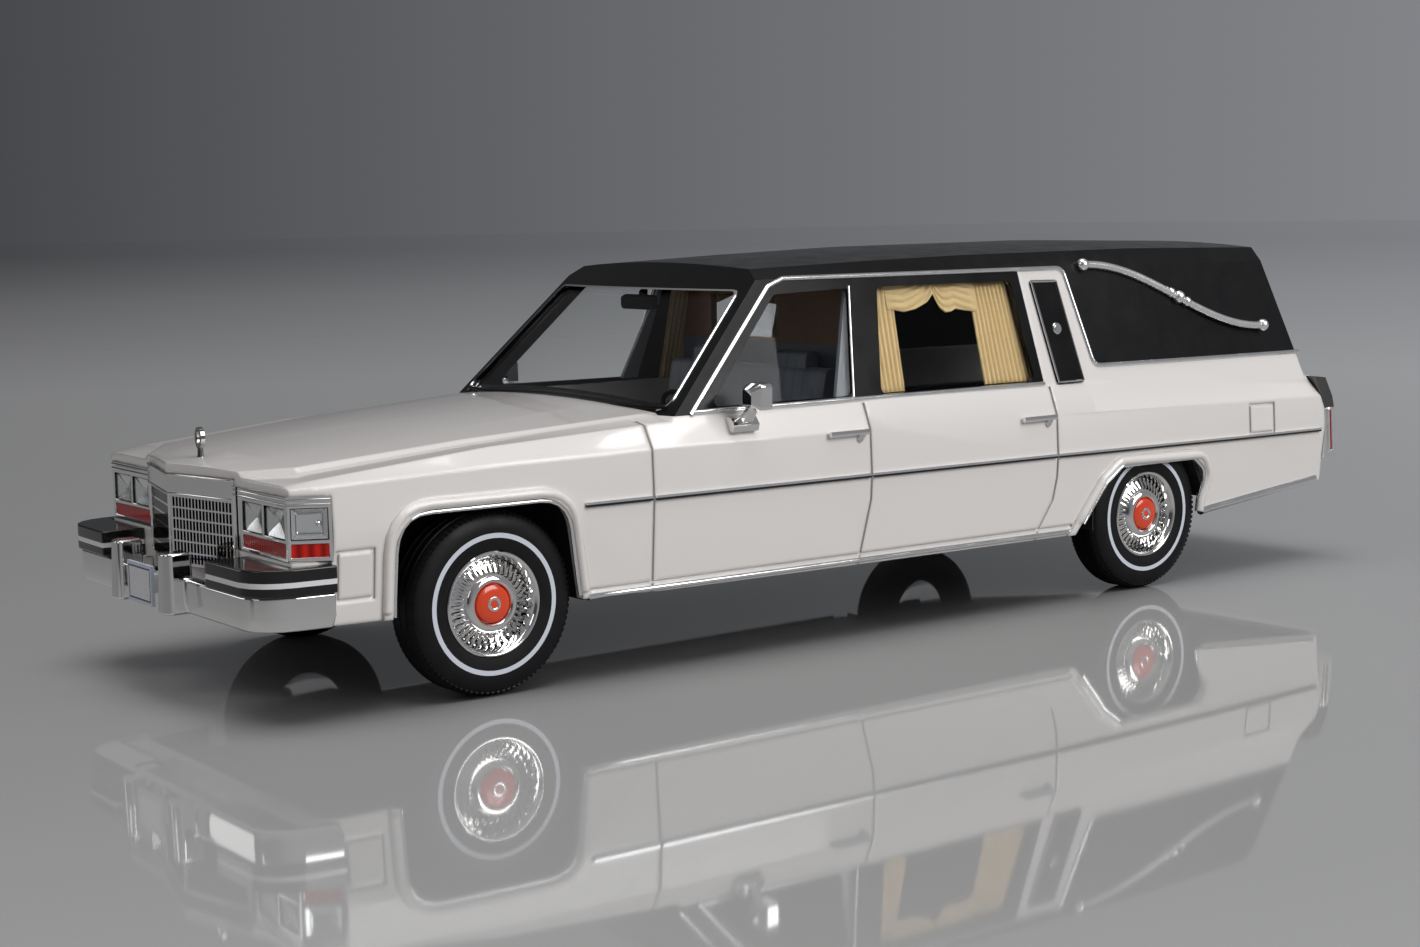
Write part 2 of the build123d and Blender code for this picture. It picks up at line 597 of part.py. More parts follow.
with BuildPart() as front_bumper:
    with BuildSketch(Plane.XY.offset(BUMPER_CHIN)):
        Polygon(*BUMPER_PLAN, align=None)
        mirror(about=Plane.YZ)
    extrude(amount=BUMPER_Z[1] - BUMPER_CHIN)
    with BuildSketch(Plane.XY.offset(BUMPER_CHIN)):
        Polygon(*BUMPER_PLAN, align=None)
        mirror(about=Plane.YZ)
    extrude(amount=BUMPER_Z[0] - BUMPER_CHIN, taper=12)
    with BuildSketch(Plane.XY.offset(BUMPER_Z[0])):
        Polygon(*OVERRIDER_PLAN, align=None)
        mirror(about=Plane.YZ)
    extrude(amount=13.9 - BUMPER_Z[0], taper=2)
front_bumper.part.label = "front_bumper"
export_step(front_bumper.part, "parts/front_bumper.step")

with BuildPart() as front_bumper_strip:
    with BuildSketch(Plane.XY.offset(BUMPER_Z[1])):
        Polygon(*STRIP_PLAN, align=None)
        mirror(about=Plane.YZ)
    extrude(amount=BUMPER_Z[2] - BUMPER_Z[1])
front_bumper_strip.part.label = "front_bumper_strip"
export_step(front_bumper_strip.part, "parts/front_bumper_strip.step")

with BuildPart() as front_plate:
    with BuildSketch(Plane.XZ.offset(71.65)):
        with Locations((0, 10.57)):
            Rectangle(5.4, 3.65)
    extrude(amount=0.3)
    with BuildSketch(Plane.XZ.offset(70.5)):
        with Locations((0, 10.57)):
            Rectangle(3.0, 1.6)
    extrude(amount=1.15)
front_plate.part.label = "front_plate"
export_step(front_plate.part, "parts/front_plate.step")

# Rear bumper and the upright tail lamps
REAR_FACE_Y = 69.45
REAR_PLAN = [(0, 72.3), (16.8, 72.1), (18.2, 71.4), (18.8, 70.5), (18.8, REAR_FACE_Y), (0, REAR_FACE_Y)]
with BuildPart() as rear_bumper:
    with BuildSketch(Plane.XY.offset(9.3)):
        Polygon(*REAR_PLAN, align=None)
        mirror(about=Plane.YZ)
    extrude(amount=1.5)
rear_bumper.part.label = "rear_bumper"
export_step(rear_bumper.part, "parts/rear_bumper.step")

with BuildPart() as rear_bumper_strip:
    with BuildSketch(Plane.XY.offset(10.8)):
        Polygon(*REAR_PLAN, align=None)
        mirror(about=Plane.YZ)
    extrude(amount=1.4)
rear_bumper_strip.part.label = "rear_bumper_strip"
export_step(rear_bumper_strip.part, "parts/rear_bumper_strip.step")

TAIL_LAMP_SIDE = [
    (REAR_FACE_Y, 12.3), (71.85, 12.3), (71.8, 14.2), (71.15, 18.6), (70.85, 19.7), (69.5, 22.0), (67.45, 22.25),
    (68.85, 19.8), (REAR_FACE_Y, 18.35),
]
SIDE_LENS = [(69.95, 18.2), (70.7, 18.2), (71.05, 13.0), (70.3, 13.0)]
REAR_LENS = [(71.05, 18.2), (71.3, 18.2), (71.95, 13.0), (71.4, 13.0)]
with BuildPart() as tail_lamp_lenses:
    add(side_prism(SIDE_LENS, 19.9, 20.52))
    add(side_prism(REAR_LENS, 18.5, 19.75))
tail_lamp_lenses.part.label = "tail_lamp_lenses"
export_step(tail_lamp_lenses.part, "parts/tail_lamp_lenses.step")

with BuildPart() as tail_lamp_bezels:
    add(side_prism(TAIL_LAMP_SIDE, 18.1, 20.45))
    add(tail_lamp_lenses.part, mode=Mode.SUBTRACT)
tail_lamp_bezels.part.label = "tail_lamp_bezels"
export_step(tail_lamp_bezels.part, "parts/tail_lamp_bezels.step")

# Door furniture
HandleRow = namedtuple("HandleRow", "y0 y1 z")
HANDLES = [HandleRow(-9.2, -3.95, 20.85), HandleRow(17.5, 22.5, 20.5)]
with BuildPart() as door_handles:
    add(body_form(-0.6))
    with BuildPart(mode=Mode.PRIVATE) as handle_band:
        for row in HANDLES:
            add(line_prism([(row.y0, row.z), (row.y1, row.z)], 0.5))
            add(line_prism([(row.y1 - 1.3, row.z - 0.5), (row.y1 - 0.5, row.z - 0.5)], 0.55))
    add(handle_band.part, mode=Mode.INTERSECT)
    add(body_out, mode=Mode.SUBTRACT)
door_handles.part.label = "door_handles"
export_step(door_handles.part, "parts/door_handles.step")

MIRROR_FOOT = [(19.0, 22.0), (21.35, 21.95), (21.55, 22.6), (21.0, 23.3), (19.0, 23.6)]
MIRROR_NECK = [(20.2, 22.7), (21.3, 22.7), (22.3, 24.2), (21.7, 24.2)]
with BuildPart() as door_mirrors:
    with BuildSketch(Plane.XZ.offset(17.9)):
        Polygon(*MIRROR_FOOT, align=None)
    extrude(amount=3.1)
    with BuildSketch(Plane.XZ.offset(18.6)):
        Polygon(*MIRROR_NECK, align=None)
    extrude(amount=1.2)
    with BuildSketch(Plane.XZ.offset(18.2)) as head:
        with Locations((22.65, 25.35)):
            Rectangle(2.5, 2.6)
        fillet(head.vertices(), 0.4)
    extrude(amount=1.3)
    with BuildSketch(Plane.XZ.offset(19.5)) as head:
        with Locations((22.65, 25.35)):
            Rectangle(2.5, 2.6)
        fillet(head.vertices(), 0.4)
    extrude(amount=0.8, taper=35)
    mirror(about=Plane.YZ)
    add(body_out, mode=Mode.SUBTRACT)
    add(cabin_out, mode=Mode.SUBTRACT)
    add(roof_trims.part, mode=Mode.SUBTRACT)
door_mirrors.part.label = "door_mirrors"
export_step(door_mirrors.part, "parts/door_mirrors.step")

with BuildPart() as hood_ornament:
    with BuildSketch(Plane.XY.offset(21.0)):
        with Locations((0, -65.6)):
            Circle(0.32)
    extrude(amount=1.4, taper=3)
    with BuildSketch(Plane.XZ.offset(65.4)):
        with Locations((0, 23.2)):
            Ellipse(0.72, 1.0)
            Ellipse(0.36, 0.6, mode=Mode.SUBTRACT)
    extrude(amount=0.4)
    add(body_out, mode=Mode.SUBTRACT)
hood_ornament.part.label = "hood_ornament"
export_step(hood_ornament.part, "parts/hood_ornament.step")

# Baseplate with wheel wells, axle bearings and two screw bosses
SCREW_Y = 20.0
SCREW_R = 1.0
SCREW_DEEP = 4.0
WellRow = namedtuple("WellRow", "y0 y1 top")
WELLS = [WellRow(-58.4, -37.6, WELL_TOP), WellRow(27.6, 48.4, WELL_TOP)]
EndRow = namedtuple("EndRow", "y0 y1 z")
PLATE_ENDS = [EndRow(-63.95, -58.8, 9.3), EndRow(48.8, 68.05, 10.0)]
with BuildPart() as baseplate:
    add(body_form(BODY_WALL + 0.02, 4.0))
    with BuildSketch(Plane.XY.offset(PLATE_BOTTOM)):
        with Locations((0, (WELLS[0].y0 + WELLS[1].y1) / 2)):
            Rectangle(60, WELLS[1].y1 - WELLS[0].y0 + 2 * WELL_WALL)
    extrude(amount=WELL_TOP - PLATE_BOTTOM, mode=Mode.INTERSECT)
    with BuildSketch(Plane.XY.offset(PLATE_TOP)):
        Rectangle(80, 200)
        for row in WELLS:
            with Locations((0, (row.y0 + row.y1) / 2)):
                with Locations((ARCH_IN + 9.4, 0), (-ARCH_IN - 9.4, 0)):
                    Rectangle(20, row.y1 - row.y0 + 2 * WELL_WALL, mode=Mode.SUBTRACT)
    extrude(amount=20, mode=Mode.SUBTRACT)
    with BuildSketch(Plane.XY.offset(PLATE_BOTTOM - 1)):
        for row in WELLS:
            with Locations((ARCH_IN + 10, (row.y0 + row.y1) / 2), (-ARCH_IN - 10, (row.y0 + row.y1) / 2)):
                Rectangle(20, row.y1 - row.y0)
    extrude(amount=WELL_TOP - WELL_WALL - PLATE_BOTTOM + 1, mode=Mode.SUBTRACT)
    with BuildSketch(Plane.XY.offset(PLATE_BOTTOM - 1.2)):
        for axle_y in (FRONT_AXLE_Y, REAR_AXLE_Y):
            with Locations((11.5, axle_y), (-11.5, axle_y)):
                Rectangle(5, 5)
    extrude(amount=5.0)
    with BuildSketch(Plane.XY.offset(PLATE_BOTTOM)):
        with Locations((0, -SCREW_Y), (0, SCREW_Y)):
            Circle(2.2)
    extrude(amount=SCREW_DEEP + 1.2)
    with BuildSketch(Plane.XY.offset(PLATE_BOTTOM - 1)):
        with Locations((0, -SCREW_Y), (0, SCREW_Y)):
            Circle(SCREW_R)
    extrude(amount=SCREW_DEEP + 1, mode=Mode.SUBTRACT)
    with BuildSketch(Plane.XY.offset(PLATE_BOTTOM)):
        for x in (7.2, -7.2):
            with Locations((x, -4)):
                Rectangle(2.2, 82)
        with Locations((0, -50)):
            Rectangle(7.5, 15)
    extrude(amount=-0.9)
    for row in PLATE_ENDS:
        with BuildPart(mode=Mode.PRIVATE) as end_plate:
            add(body_form(BODY_WALL + 0.02, 4.0))
            with BuildSketch(Plane.XY.offset(row.z)):
                with Locations((0, (row.y0 + row.y1) / 2)):
                    Rectangle(60, row.y1 - row.y0)
            extrude(amount=1.0, mode=Mode.INTERSECT)
        add(end_plate.part)
    with BuildSketch(Plane.XY.offset(PLATE_ENDS[1].z)):
        with Locations((0, 57)):
            Rectangle(18, 11)
    extrude(amount=-0.9)
    with BuildSketch(Plane.YZ.offset(-22)):
        with Locations((FRONT_AXLE_Y, AXLE_Z), (REAR_AXLE_Y, AXLE_Z)):
            Circle(AXLE_R + BEARING_CLEARANCE)
    extrude(amount=44, mode=Mode.SUBTRACT)
    with BuildSketch(Plane.XY.offset(PLATE_BOTTOM - 2)):
        for axle_y in (FRONT_AXLE_Y, REAR_AXLE_Y):
            with Locations((0, axle_y)):
                Rectangle(18, 3.0)
    extrude(amount=3.6, mode=Mode.SUBTRACT)
baseplate.part.label = "baseplate"
export_step(baseplate.part, "parts/baseplate.step")

# Cabin fittings
with BuildPart() as interior_tub:
    with BuildSketch(Plane.XY.offset(PLATE_TOP + 0.02)):
        with Locations((0, -5)):
            Rectangle(30, 62)
        with Locations((0, -SCREW_Y), (0, SCREW_Y)):
            Circle(2.6, mode=Mode.SUBTRACT)
    extrude(amount=0.8)
    with BuildSketch(Plane.XY.offset(PLATE_TOP + 0.02)):
        with Locations((0, 25.6)):
            Rectangle(30, 0.8)
        with Locations((0, -35.6)):
            Rectangle(30, 0.8)
    extrude(amount=WELL_TOP - PLATE_TOP)
    with BuildSketch(Plane.XY.offset(WELL_TOP + 0.02)):
        with Locations((0, 44.8)):
            Rectangle(37, 39.2)
    extrude(amount=0.8)
    add(body_form(BODY_WALL + 0.05, 4.0), mode=Mode.INTERSECT)
interior_tub.part.label = "interior_tub"
export_step(interior_tub.part, "parts/interior_tub.step")

floor_z = PLATE_TOP + 0.84
with BuildPart() as bench_seat:
    with BuildSketch(Plane.YZ.offset(-13.4)) as seat_side:
        Polygon(
            (-13.5, floor_z), (-13.5, 15.2), (-5.0, 14.6), (-2.8, 26.6), (-0.8, 26.6), (-0.6, floor_z),
            align=None,
        )
        fillet(seat_side.vertices().group_by(Axis.Y)[-1], 0.7)
    extrude(amount=26.8)
    for x in (7.2, -7.2):
        with BuildSketch(Plane.YZ.offset(x - 2.6)) as rest:
            Polygon((-2.6, 26.5), (-2.4, 28.2), (-0.9, 28.2), (-0.9, 26.5), align=None)
            fillet(rest.vertices().group_by(Axis.Y)[-1], 0.5)
        extrude(amount=5.2)
bench_seat.part.label = "bench_seat"
export_step(bench_seat.part, "parts/bench_seat.step")

with BuildPart() as partition:
    with BuildSketch(Plane.XZ.offset(-0.4)) as panel:
        Polygon((-14.9, floor_z), (14.9, floor_z), (15.6, 28.6), (14.3, 34.6), (-14.3, 34.6), (-15.6, 28.6), align=None)
        with Locations((-4.5, 31.4)):
            Rectangle(11.5, 4.4, mode=Mode.SUBTRACT)
    extrude(amount=-0.8)
partition.part.label = "partition"
export_step(partition.part, "parts/partition.step")

with BuildPart() as dashboard:
    with BuildSketch(Plane.YZ.offset(-17.0)) as dash_side:
        Polygon((-27.2, 17.2), (-26.3, 22.8), (-24.6, 23.9), (-21.4, 23.4), (-20.6, 21.6), (-22.4, 17.2), align=None)
        fillet(dash_side.vertices().group_by(Axis.X)[-2:], 0.5)
    extrude(amount=34.0)
    add(body_form(BODY_WALL + 0.05, 4.0), mode=Mode.INTERSECT)
    with BuildSketch(Plane.XY.offset(floor_z)):
        with Locations((0, -25.4)):
            Rectangle(24, 3.0)
    extrude(amount=9)
dashboard.part.label = "dashboard"
export_step(dashboard.part, "parts/dashboard.step")

wheel_plane = Plane(origin=(8.6, -16.6, 21.6), x_dir=(1, 0, 0), z_dir=(0, 0.87, 0.5))
with BuildPart() as steering_wheel:
    with BuildSketch(wheel_plane):
        Circle(4.1)
        Circle(3.55, mode=Mode.SUBTRACT)
        Rectangle(7.4, 0.9)
        Circle(0.9)
    extrude(amount=0.55)
    with BuildSketch(wheel_plane):
        Circle(0.6)
    extrude(amount=-6.5)
    add(dashboard.part, mode=Mode.SUBTRACT)
steering_wheel.part.label = "steering_wheel"
export_step(steering_wheel.part, "parts/steering_wheel.step")

with BuildPart() as cabin_mirror:
    with BuildSketch(Plane.XZ.offset(16.2)) as glass_back:
        with Locations((0, 33.6)):
            Rectangle(5.6, 1.5)
        fillet(glass_back.vertices(), 0.5)
    extrude(amount=0.7)
    with BuildSketch(Plane.XZ.offset(15.7)):
        with Locations((0, 35.6)):
            Rectangle(0.7, 4.0)
    extrude(amount=0.6)
    add(cabin_in, mode=Mode.INTERSECT)
cabin_mirror.part.label = "cabin_mirror"
export_step(cabin_mirror.part, "parts/cabin_mirror.step")

# Running gear: on each axle a rod, two tyres, two wheel covers and two caps
SPOKES = 30
TYRE_PROFILE = [
    (16.4, 4.85), (TYRE_IN, 6.2), (16.05, 7.7), (16.7, TYRE_R), (19.95, TYRE_R),
    (20.35, 7.8), (TYRE_OUT, 6.6), (TYRE_OUT, 5.8), (20.3, 4.85),
]
COVER_PROFILE = [
    (17.0, 0), (17.0, 3.6), (17.3, RIM_R), (20.25, RIM_R), (20.45, 4.6), (20.2, 4.2), (19.5, 4.0),
    (19.5, 2.3), (20.25, 2.2), (20.25, 1.75), (19.7, 1.68), (19.7, 0),
]


def axle_frame(axle_y):
    """Plane in which x runs along the axle and y is the radius."""
    return Plane(origin=(0, axle_y, AXLE_Z), x_dir=(1, 0, 0), z_dir=(0, 0, 1))


AxleRow = namedtuple("AxleRow", "name y")
for axle in (AxleRow("front", FRONT_AXLE_Y), AxleRow("rear", REAR_AXLE_Y)):
    turning = Axis((0, axle.y, AXLE_Z), (1, 0, 0))
    with BuildPart() as rod:
        with BuildSketch(Plane.YZ.offset(-17.0)):
            with Locations((axle.y, AXLE_Z)):
                Circle(AXLE_R)
        extrude(amount=34.0)
    rod.part.label = "axle_" + axle.name
    export_step(rod.part, "parts/axle_" + axle.name + ".step")

    with BuildPart() as tyre:
        with BuildSketch(axle_frame(axle.y)):
            Polygon(*TYRE_PROFILE, align=None)
        revolve(axis=turning)
    tyre.part.label = "tyre_" + axle.name + "_left"
    export_step(tyre.part, "parts/tyre_" + axle.name + "_left.step")

    with BuildPart() as tyre_twin:
        add(tyre.part)
        mirror(about=Plane.YZ, mode=Mode.REPLACE)
    tyre_twin.part.label = "tyre_" + axle.name + "_right"
    export_step(tyre_twin.part, "parts/tyre_" + axle.name + "_right.step")

    with BuildPart() as covers:
        with BuildSketch(axle_frame(axle.y)):
            Polygon(*COVER_PROFILE, align=None)
        revolve(axis=turning)
        with BuildSketch(Plane.YZ.offset(19.3)):
            with Locations((axle.y, AXLE_Z)):
                with PolarLocations(3.15, SPOKES):
                    Rectangle(1.86, 0.2)
        extrude(amount=0.75)
        mirror(about=Plane.YZ)
    covers.part.label = "wheel_covers_" + axle.name
    export_step(covers.part, "parts/wheel_covers_" + axle.name + ".step")

    with BuildPart() as caps:
        with BuildSketch(Plane.YZ.offset(19.72)):
            with Locations((axle.y, AXLE_Z)):
                Circle(1.66)
        extrude(amount=0.5)
        with BuildSketch(Plane.YZ.offset(20.22)):
            with Locations((axle.y, AXLE_Z)):
                Circle(0.65)
                Circle(0.4, mode=Mode.SUBTRACT)
        extrude(amount=0.15)
        mirror(about=Plane.YZ)
    caps.part.label = "caps_" + axle.name
    export_step(caps.part, "parts/caps_" + axle.name + ".step")
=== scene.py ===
import math
import bmesh
import bpy
from mathutils import Matrix, Vector
from mathutils.bvhtree import BVHTree


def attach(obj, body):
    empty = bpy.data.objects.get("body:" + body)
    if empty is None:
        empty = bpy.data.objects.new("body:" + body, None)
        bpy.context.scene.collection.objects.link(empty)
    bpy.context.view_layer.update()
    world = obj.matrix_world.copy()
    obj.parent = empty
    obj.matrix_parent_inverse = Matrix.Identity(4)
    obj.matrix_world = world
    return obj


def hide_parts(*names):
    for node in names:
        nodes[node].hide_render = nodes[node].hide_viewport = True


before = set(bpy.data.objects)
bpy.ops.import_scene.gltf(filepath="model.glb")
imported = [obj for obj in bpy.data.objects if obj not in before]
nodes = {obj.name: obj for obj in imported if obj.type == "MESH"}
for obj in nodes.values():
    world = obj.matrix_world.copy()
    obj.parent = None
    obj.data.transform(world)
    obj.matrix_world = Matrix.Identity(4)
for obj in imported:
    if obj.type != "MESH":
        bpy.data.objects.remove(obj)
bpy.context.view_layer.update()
scene = bpy.context.scene
scene.view_settings.view_transform = "Standard"
mm = 0.001

# places of the running gear, in mm
gear = {"front_axle": -47.3, "rear_axle": 38.05, "axleZ": 8.43}
# depth of a surface's grain and of moulded folds, and the distance for joining points, in metres
grainDeep, foldDeep, weld = 0.00002, 0.00006, 2e-6
# corners of a unit square, in turn
square = [(-1, -1), (1, -1), (1, 1), (-1, 1)]


def grey(level):
    return level, level, level


def newMaterial(name):
    mat = bpy.data.materials.new(name)
    mat.use_nodes = True
    return mat, mat.node_tree


def setInputs(tree, node, inputs):
    for key, value in inputs.items():
        if hasattr(value, "is_output"):
            tree.links.new(value, node.inputs[key])
        else:
            node.inputs[key].default_value = value


# a new node with its settings and inputs, given back by one of its outputs
def feed(tree, kind, inputs, output=0, **settings):
    node = tree.nodes.new(kind)
    for key, value in settings.items():
        setattr(node, key, value)
    setInputs(tree, node, inputs)
    return node.outputs[output]


def objectCoords(tree):
    return feed(tree, "ShaderNodeTexCoord", {}, "Object")


def axesOf(tree, place):
    parts = tree.nodes.new("ShaderNodeSeparateXYZ")
    tree.links.new(place, parts.inputs[0])
    return parts.outputs[:]


def objectAxes(tree):
    return axesOf(tree, objectCoords(tree))


def mathNode(tree, operation, *values):
    return feed(tree, "ShaderNodeMath", dict(enumerate(values)), operation=operation)


def between(tree, value, low, high):
    over = mathNode(tree, "GREATER_THAN", value, low)
    return mathNode(tree, "MULTIPLY", over, mathNode(tree, "LESS_THAN", value, high))


def mixColour(tree, factor, *colours):
    first, second = (colour if hasattr(colour, "is_output") else (*colour, 1) for colour in colours)
    return feed(tree, "ShaderNodeMix", {0: factor, 6: first, 7: second}, 2, data_type="RGBA")


def noiseOn(tree, scale, detail=3.0):
    return feed(tree, "ShaderNodeTexNoise", {"Scale": scale, "Detail": detail, "Vector": objectCoords(tree)}, "Fac")


def waveOn(tree, scale):
    return feed(tree, "ShaderNodeTexWave", {"Scale": scale, "Vector": objectCoords(tree)}, "Fac", bands_direction="X")


def rangeOf(tree, value, low, high, fromLow=0.3, fromHigh=0.7):
    inputs = {"Value": value, "From Min": fromLow, "From Max": fromHigh, "To Min": low, "To Max": high}
    return feed(tree, "ShaderNodeMapRange", inputs, "Result")


def bumpFrom(tree, height, strength, distance):
    return feed(tree, "ShaderNodeBump", {"Strength": strength, "Distance": distance, "Height": height}, "Normal")


def paint(mat, colour, rough, grain, others=None):
    tree = mat.node_tree
    worn = rangeOf(tree, noiseOn(tree, grain), *rough)
    setInputs(tree, tree.nodes["Principled BSDF"], {"Base Color": colour, "Roughness": worn, **(others or {})})
    return mat


def finish(name, dark, light, rough, grain, bump=0.0, metal=0.0, coat=0.0, specular=0.5, soft=0.0):
    mat, tree = newMaterial(name)
    others = {"Metallic": metal, "Coat Weight": coat, "Coat Roughness": 0.04, "Specular IOR Level": specular}
    if bump:
        others["Normal"] = bumpFrom(tree, noiseOn(tree, grain * 2.2), bump, grainDeep)
    if soft:  # thick paint that runs over the edges
        others["Normal"] = others["Coat Normal"] = feed(tree, "ShaderNodeBevel", {"Radius": soft}, samples=6)
    return paint(mat, mixColour(tree, noiseOn(tree, grain), dark, light), rough, grain * 0.4, others)


whitePaint = finish("whitePaint", (0.735, 0.70, 0.675), (0.755, 0.72, 0.695), (0.18, 0.22), 90, coat=0.8, soft=0.0005)
blackRoof = finish("blackRoof", (0.004, 0.004, 0.0045), (0.007, 0.007, 0.0075), (0.27, 0.36), 900, 0.1, specular=0.16)
blackTrim = finish("blackTrim", (0.003, 0.003, 0.0035), (0.006, 0.006, 0.0065), (0.16, 0.24), 700, 0.04, specular=0.18)
chrome = finish("chrome", (0.80, 0.79, 0.78), (0.86, 0.85, 0.84), (0.03, 0.07), 260, metal=1.0)
silverFoil = finish("silverFoil", grey(0.80), grey(0.90), (0.1, 0.2), 900, 0.06, metal=1.0)
baseCasting = finish("baseCasting", (0.014, 0.014, 0.015), (0.026, 0.026, 0.028), (0.5, 0.65), 700, 0.3, specular=0.3)
dashBlack = finish("dashBlack", grey(0.001), grey(0.003), (0.65, 0.8), 700, 0.2, specular=0.0)
lampSilver = finish("lampSilver", grey(0.84), grey(0.92), (0.12, 0.2), 400, metal=1.0)
brightSilver = finish("brightSilver", grey(0.90), grey(0.96), (0.22, 0.3), 900, 0.04, metal=1.0)
# a darker copy of chrome: painted dark reflection, used on the hood ornament
darkReflectionChrome = finish("darkReflectionChrome", (0.26, 0.255, 0.25), (0.36, 0.355, 0.35), (0.04, 0.09), 260, metal=1.0)
cabinBlack = finish("cabinBlack", (0.004, 0.004, 0.005), (0.009, 0.009, 0.01), (0.65, 0.8), 700, 0.25, specular=0.0)
drapeCream = finish("drapeCream", (0.74, 0.53, 0.25), (0.82, 0.61, 0.32), (0.5, 0.65), 420, 0.15, specular=0.3)
postGrey = finish("postGrey", (0.30, 0.31, 0.33), (0.36, 0.37, 0.39), (0.45, 0.6), 500, 0.1, specular=0.3)
axleSteel = finish("axleSteel", grey(0.45), grey(0.55), (0.25, 0.4), 1200, 0.1, metal=1.0)
mirrorGlass = finish("mirrorGlass", (0.62, 0.64, 0.66), (0.68, 0.70, 0.72), (0.02, 0.05), 200, metal=1.0)
pipeSteel = finish("pipeSteel", (0.20, 0.19, 0.18), (0.30, 0.29, 0.27), (0.35, 0.5), 900, 0.2, metal=1.0)


def clearGlass(name, tint, rough, bend):
    mat, tree = newMaterial(name)
    colour = mixColour(tree, noiseOn(tree, 60), tint, (0.97, 0.98, 0.98))
    return paint(mat, colour, rough, 90, {"Transmission Weight": 1.0, "IOR": bend})


def flutedLens(name, dark, light, ribs):
    mat, tree = newMaterial(name)
    flutes = waveOn(tree, ribs)
    others = {"Normal": bumpFrom(tree, flutes, 0.35, foldDeep), "Coat Weight": 0.1, "Specular IOR Level": 0.25}
    return paint(mat, mixColour(tree, flutes, dark, light), (0.06, 0.14), 300, others)


def wheelRadius(tree):
    x, y, z = objectAxes(tree)
    middle = (gear["front_axle"] + gear["rear_axle"]) / 2 * mm
    half = (gear["rear_axle"] - gear["front_axle"]) / 2 * mm
    along = mathNode(tree, "SUBTRACT", mathNode(tree, "ABSOLUTE", mathNode(tree, "SUBTRACT", y, middle)), half)
    up = mathNode(tree, "SUBTRACT", z, gear["axleZ"] * mm)
    total = mathNode(tree, "ADD", mathNode(tree, "MULTIPLY", along, along), mathNode(tree, "MULTIPLY", up, up))
    return mathNode(tree, "SQRT", total), mathNode(tree, "ABSOLUTE", x)


# marks on the wheels: radii, and how far out the tyre's outer wall starts, in metres
wheelMarks = {"whiteRing": (0.00598, 0.00642), "outside": 0.0195, "capRing": (0.00037, 0.00068)}


def tyreMaterial(name):
    mat, tree = newMaterial(name)
    radius, across = wheelRadius(tree)
    outside = mathNode(tree, "GREATER_THAN", across, wheelMarks["outside"])
    ring = mathNode(tree, "MULTIPLY", between(tree, radius, *wheelMarks["whiteRing"]), outside)
    black = mixColour(tree, noiseOn(tree, 700), (0.004, 0.004, 0.005), (0.008, 0.008, 0.009))
    others = {"Normal": bumpFrom(tree, noiseOn(tree, 1500), 0.2, grainDeep), "Specular IOR Level": 0.2}
    return paint(mat, mixColour(tree, ring, black, (0.62, 0.65, 0.72)), (0.42, 0.6), 500, others)


def capMaterial(name):
    mat, tree = newMaterial(name)
    ring = between(tree, wheelRadius(tree)[0], *wheelMarks["capRing"])
    red = mixColour(tree, noiseOn(tree, 500), (0.66, 0.05, 0.012), (0.74, 0.066, 0.018))
    others = {"Metallic": ring, "Coat Weight": 0.4}
    return paint(mat, mixColour(tree, ring, red, grey(0.8)), (0.14, 0.2), 300, others)


def bandMaterial(name, low, high):
    # a pale line between two levels in mm
    mat, tree = newMaterial(name)
    black = mixColour(tree, noiseOn(tree, 800), grey(0.004), grey(0.007))
    line = between(tree, objectAxes(tree)[2], low * mm, high * mm)
    return paint(mat, mixColour(tree, line, black, (0.74, 0.74, 0.76)), (0.12, 0.2), 500, {"Coat Weight": 0.15})


# height and fall of the side strip's two runs, and how far below the middle its silver starts
stripLine = {"runs": [(0.016412, 0.00494), (0.0165286, 0.01076)], "below": 0.00001}


def mouldingMaterial(name):
    # silver over a black line that follows the strip's two slopes
    mat, tree = newMaterial(name)
    x, y, z = objectAxes(tree)
    runs = [mathNode(tree, "SUBTRACT", height, mathNode(tree, "MULTIPLY", y, fall)) for height, fall in stripLine["runs"]]
    middle = mathNode(tree, "SUBTRACT", mathNode(tree, "MINIMUM", *runs), stripLine["below"])
    lower = mathNode(tree, "LESS_THAN", z, middle)
    silver = mixColour(tree, noiseOn(tree, 900), grey(0.8), grey(0.9))
    others = {"Metallic": mathNode(tree, "SUBTRACT", 1.0, lower)}
    return paint(mat, mixColour(tree, lower, silver, (0.008, 0.008, 0.009)), (0.12, 0.22), 500, others)


# the grille's pointed face: slope to each side, place of its point, depth at which a slot is dark
prow = {"slope": 2.1 / 9.25, "tip": -0.0688, "slot": 0.00042}


def grilleMaterial(name):
    # dark floors of the slots, bright ribs
    mat, tree = newMaterial(name)
    x, y, z = objectAxes(tree)
    face = mathNode(tree, "MULTIPLY", mathNode(tree, "ABSOLUTE", x), prow["slope"])
    depth = mathNode(tree, "SUBTRACT", mathNode(tree, "SUBTRACT", y, prow["tip"]), face)
    pit = mathNode(tree, "GREATER_THAN", depth, prow["slot"])
    silver = mixColour(tree, noiseOn(tree, 300), (0.80, 0.79, 0.78), (0.86, 0.85, 0.84))
    others = {"Metallic": mathNode(tree, "SUBTRACT", 1.0, pit)}
    return paint(mat, mixColour(tree, pit, silver, grey(0.01)), (0.04, 0.09), 260, others)


# the number plate's half sizes and middle, and where its pale edge and dark line end
plateSizes = {"half": (0.0027, 0.001825), "midZ": 0.01057, "rim": 0.0003, "line": 0.00045}


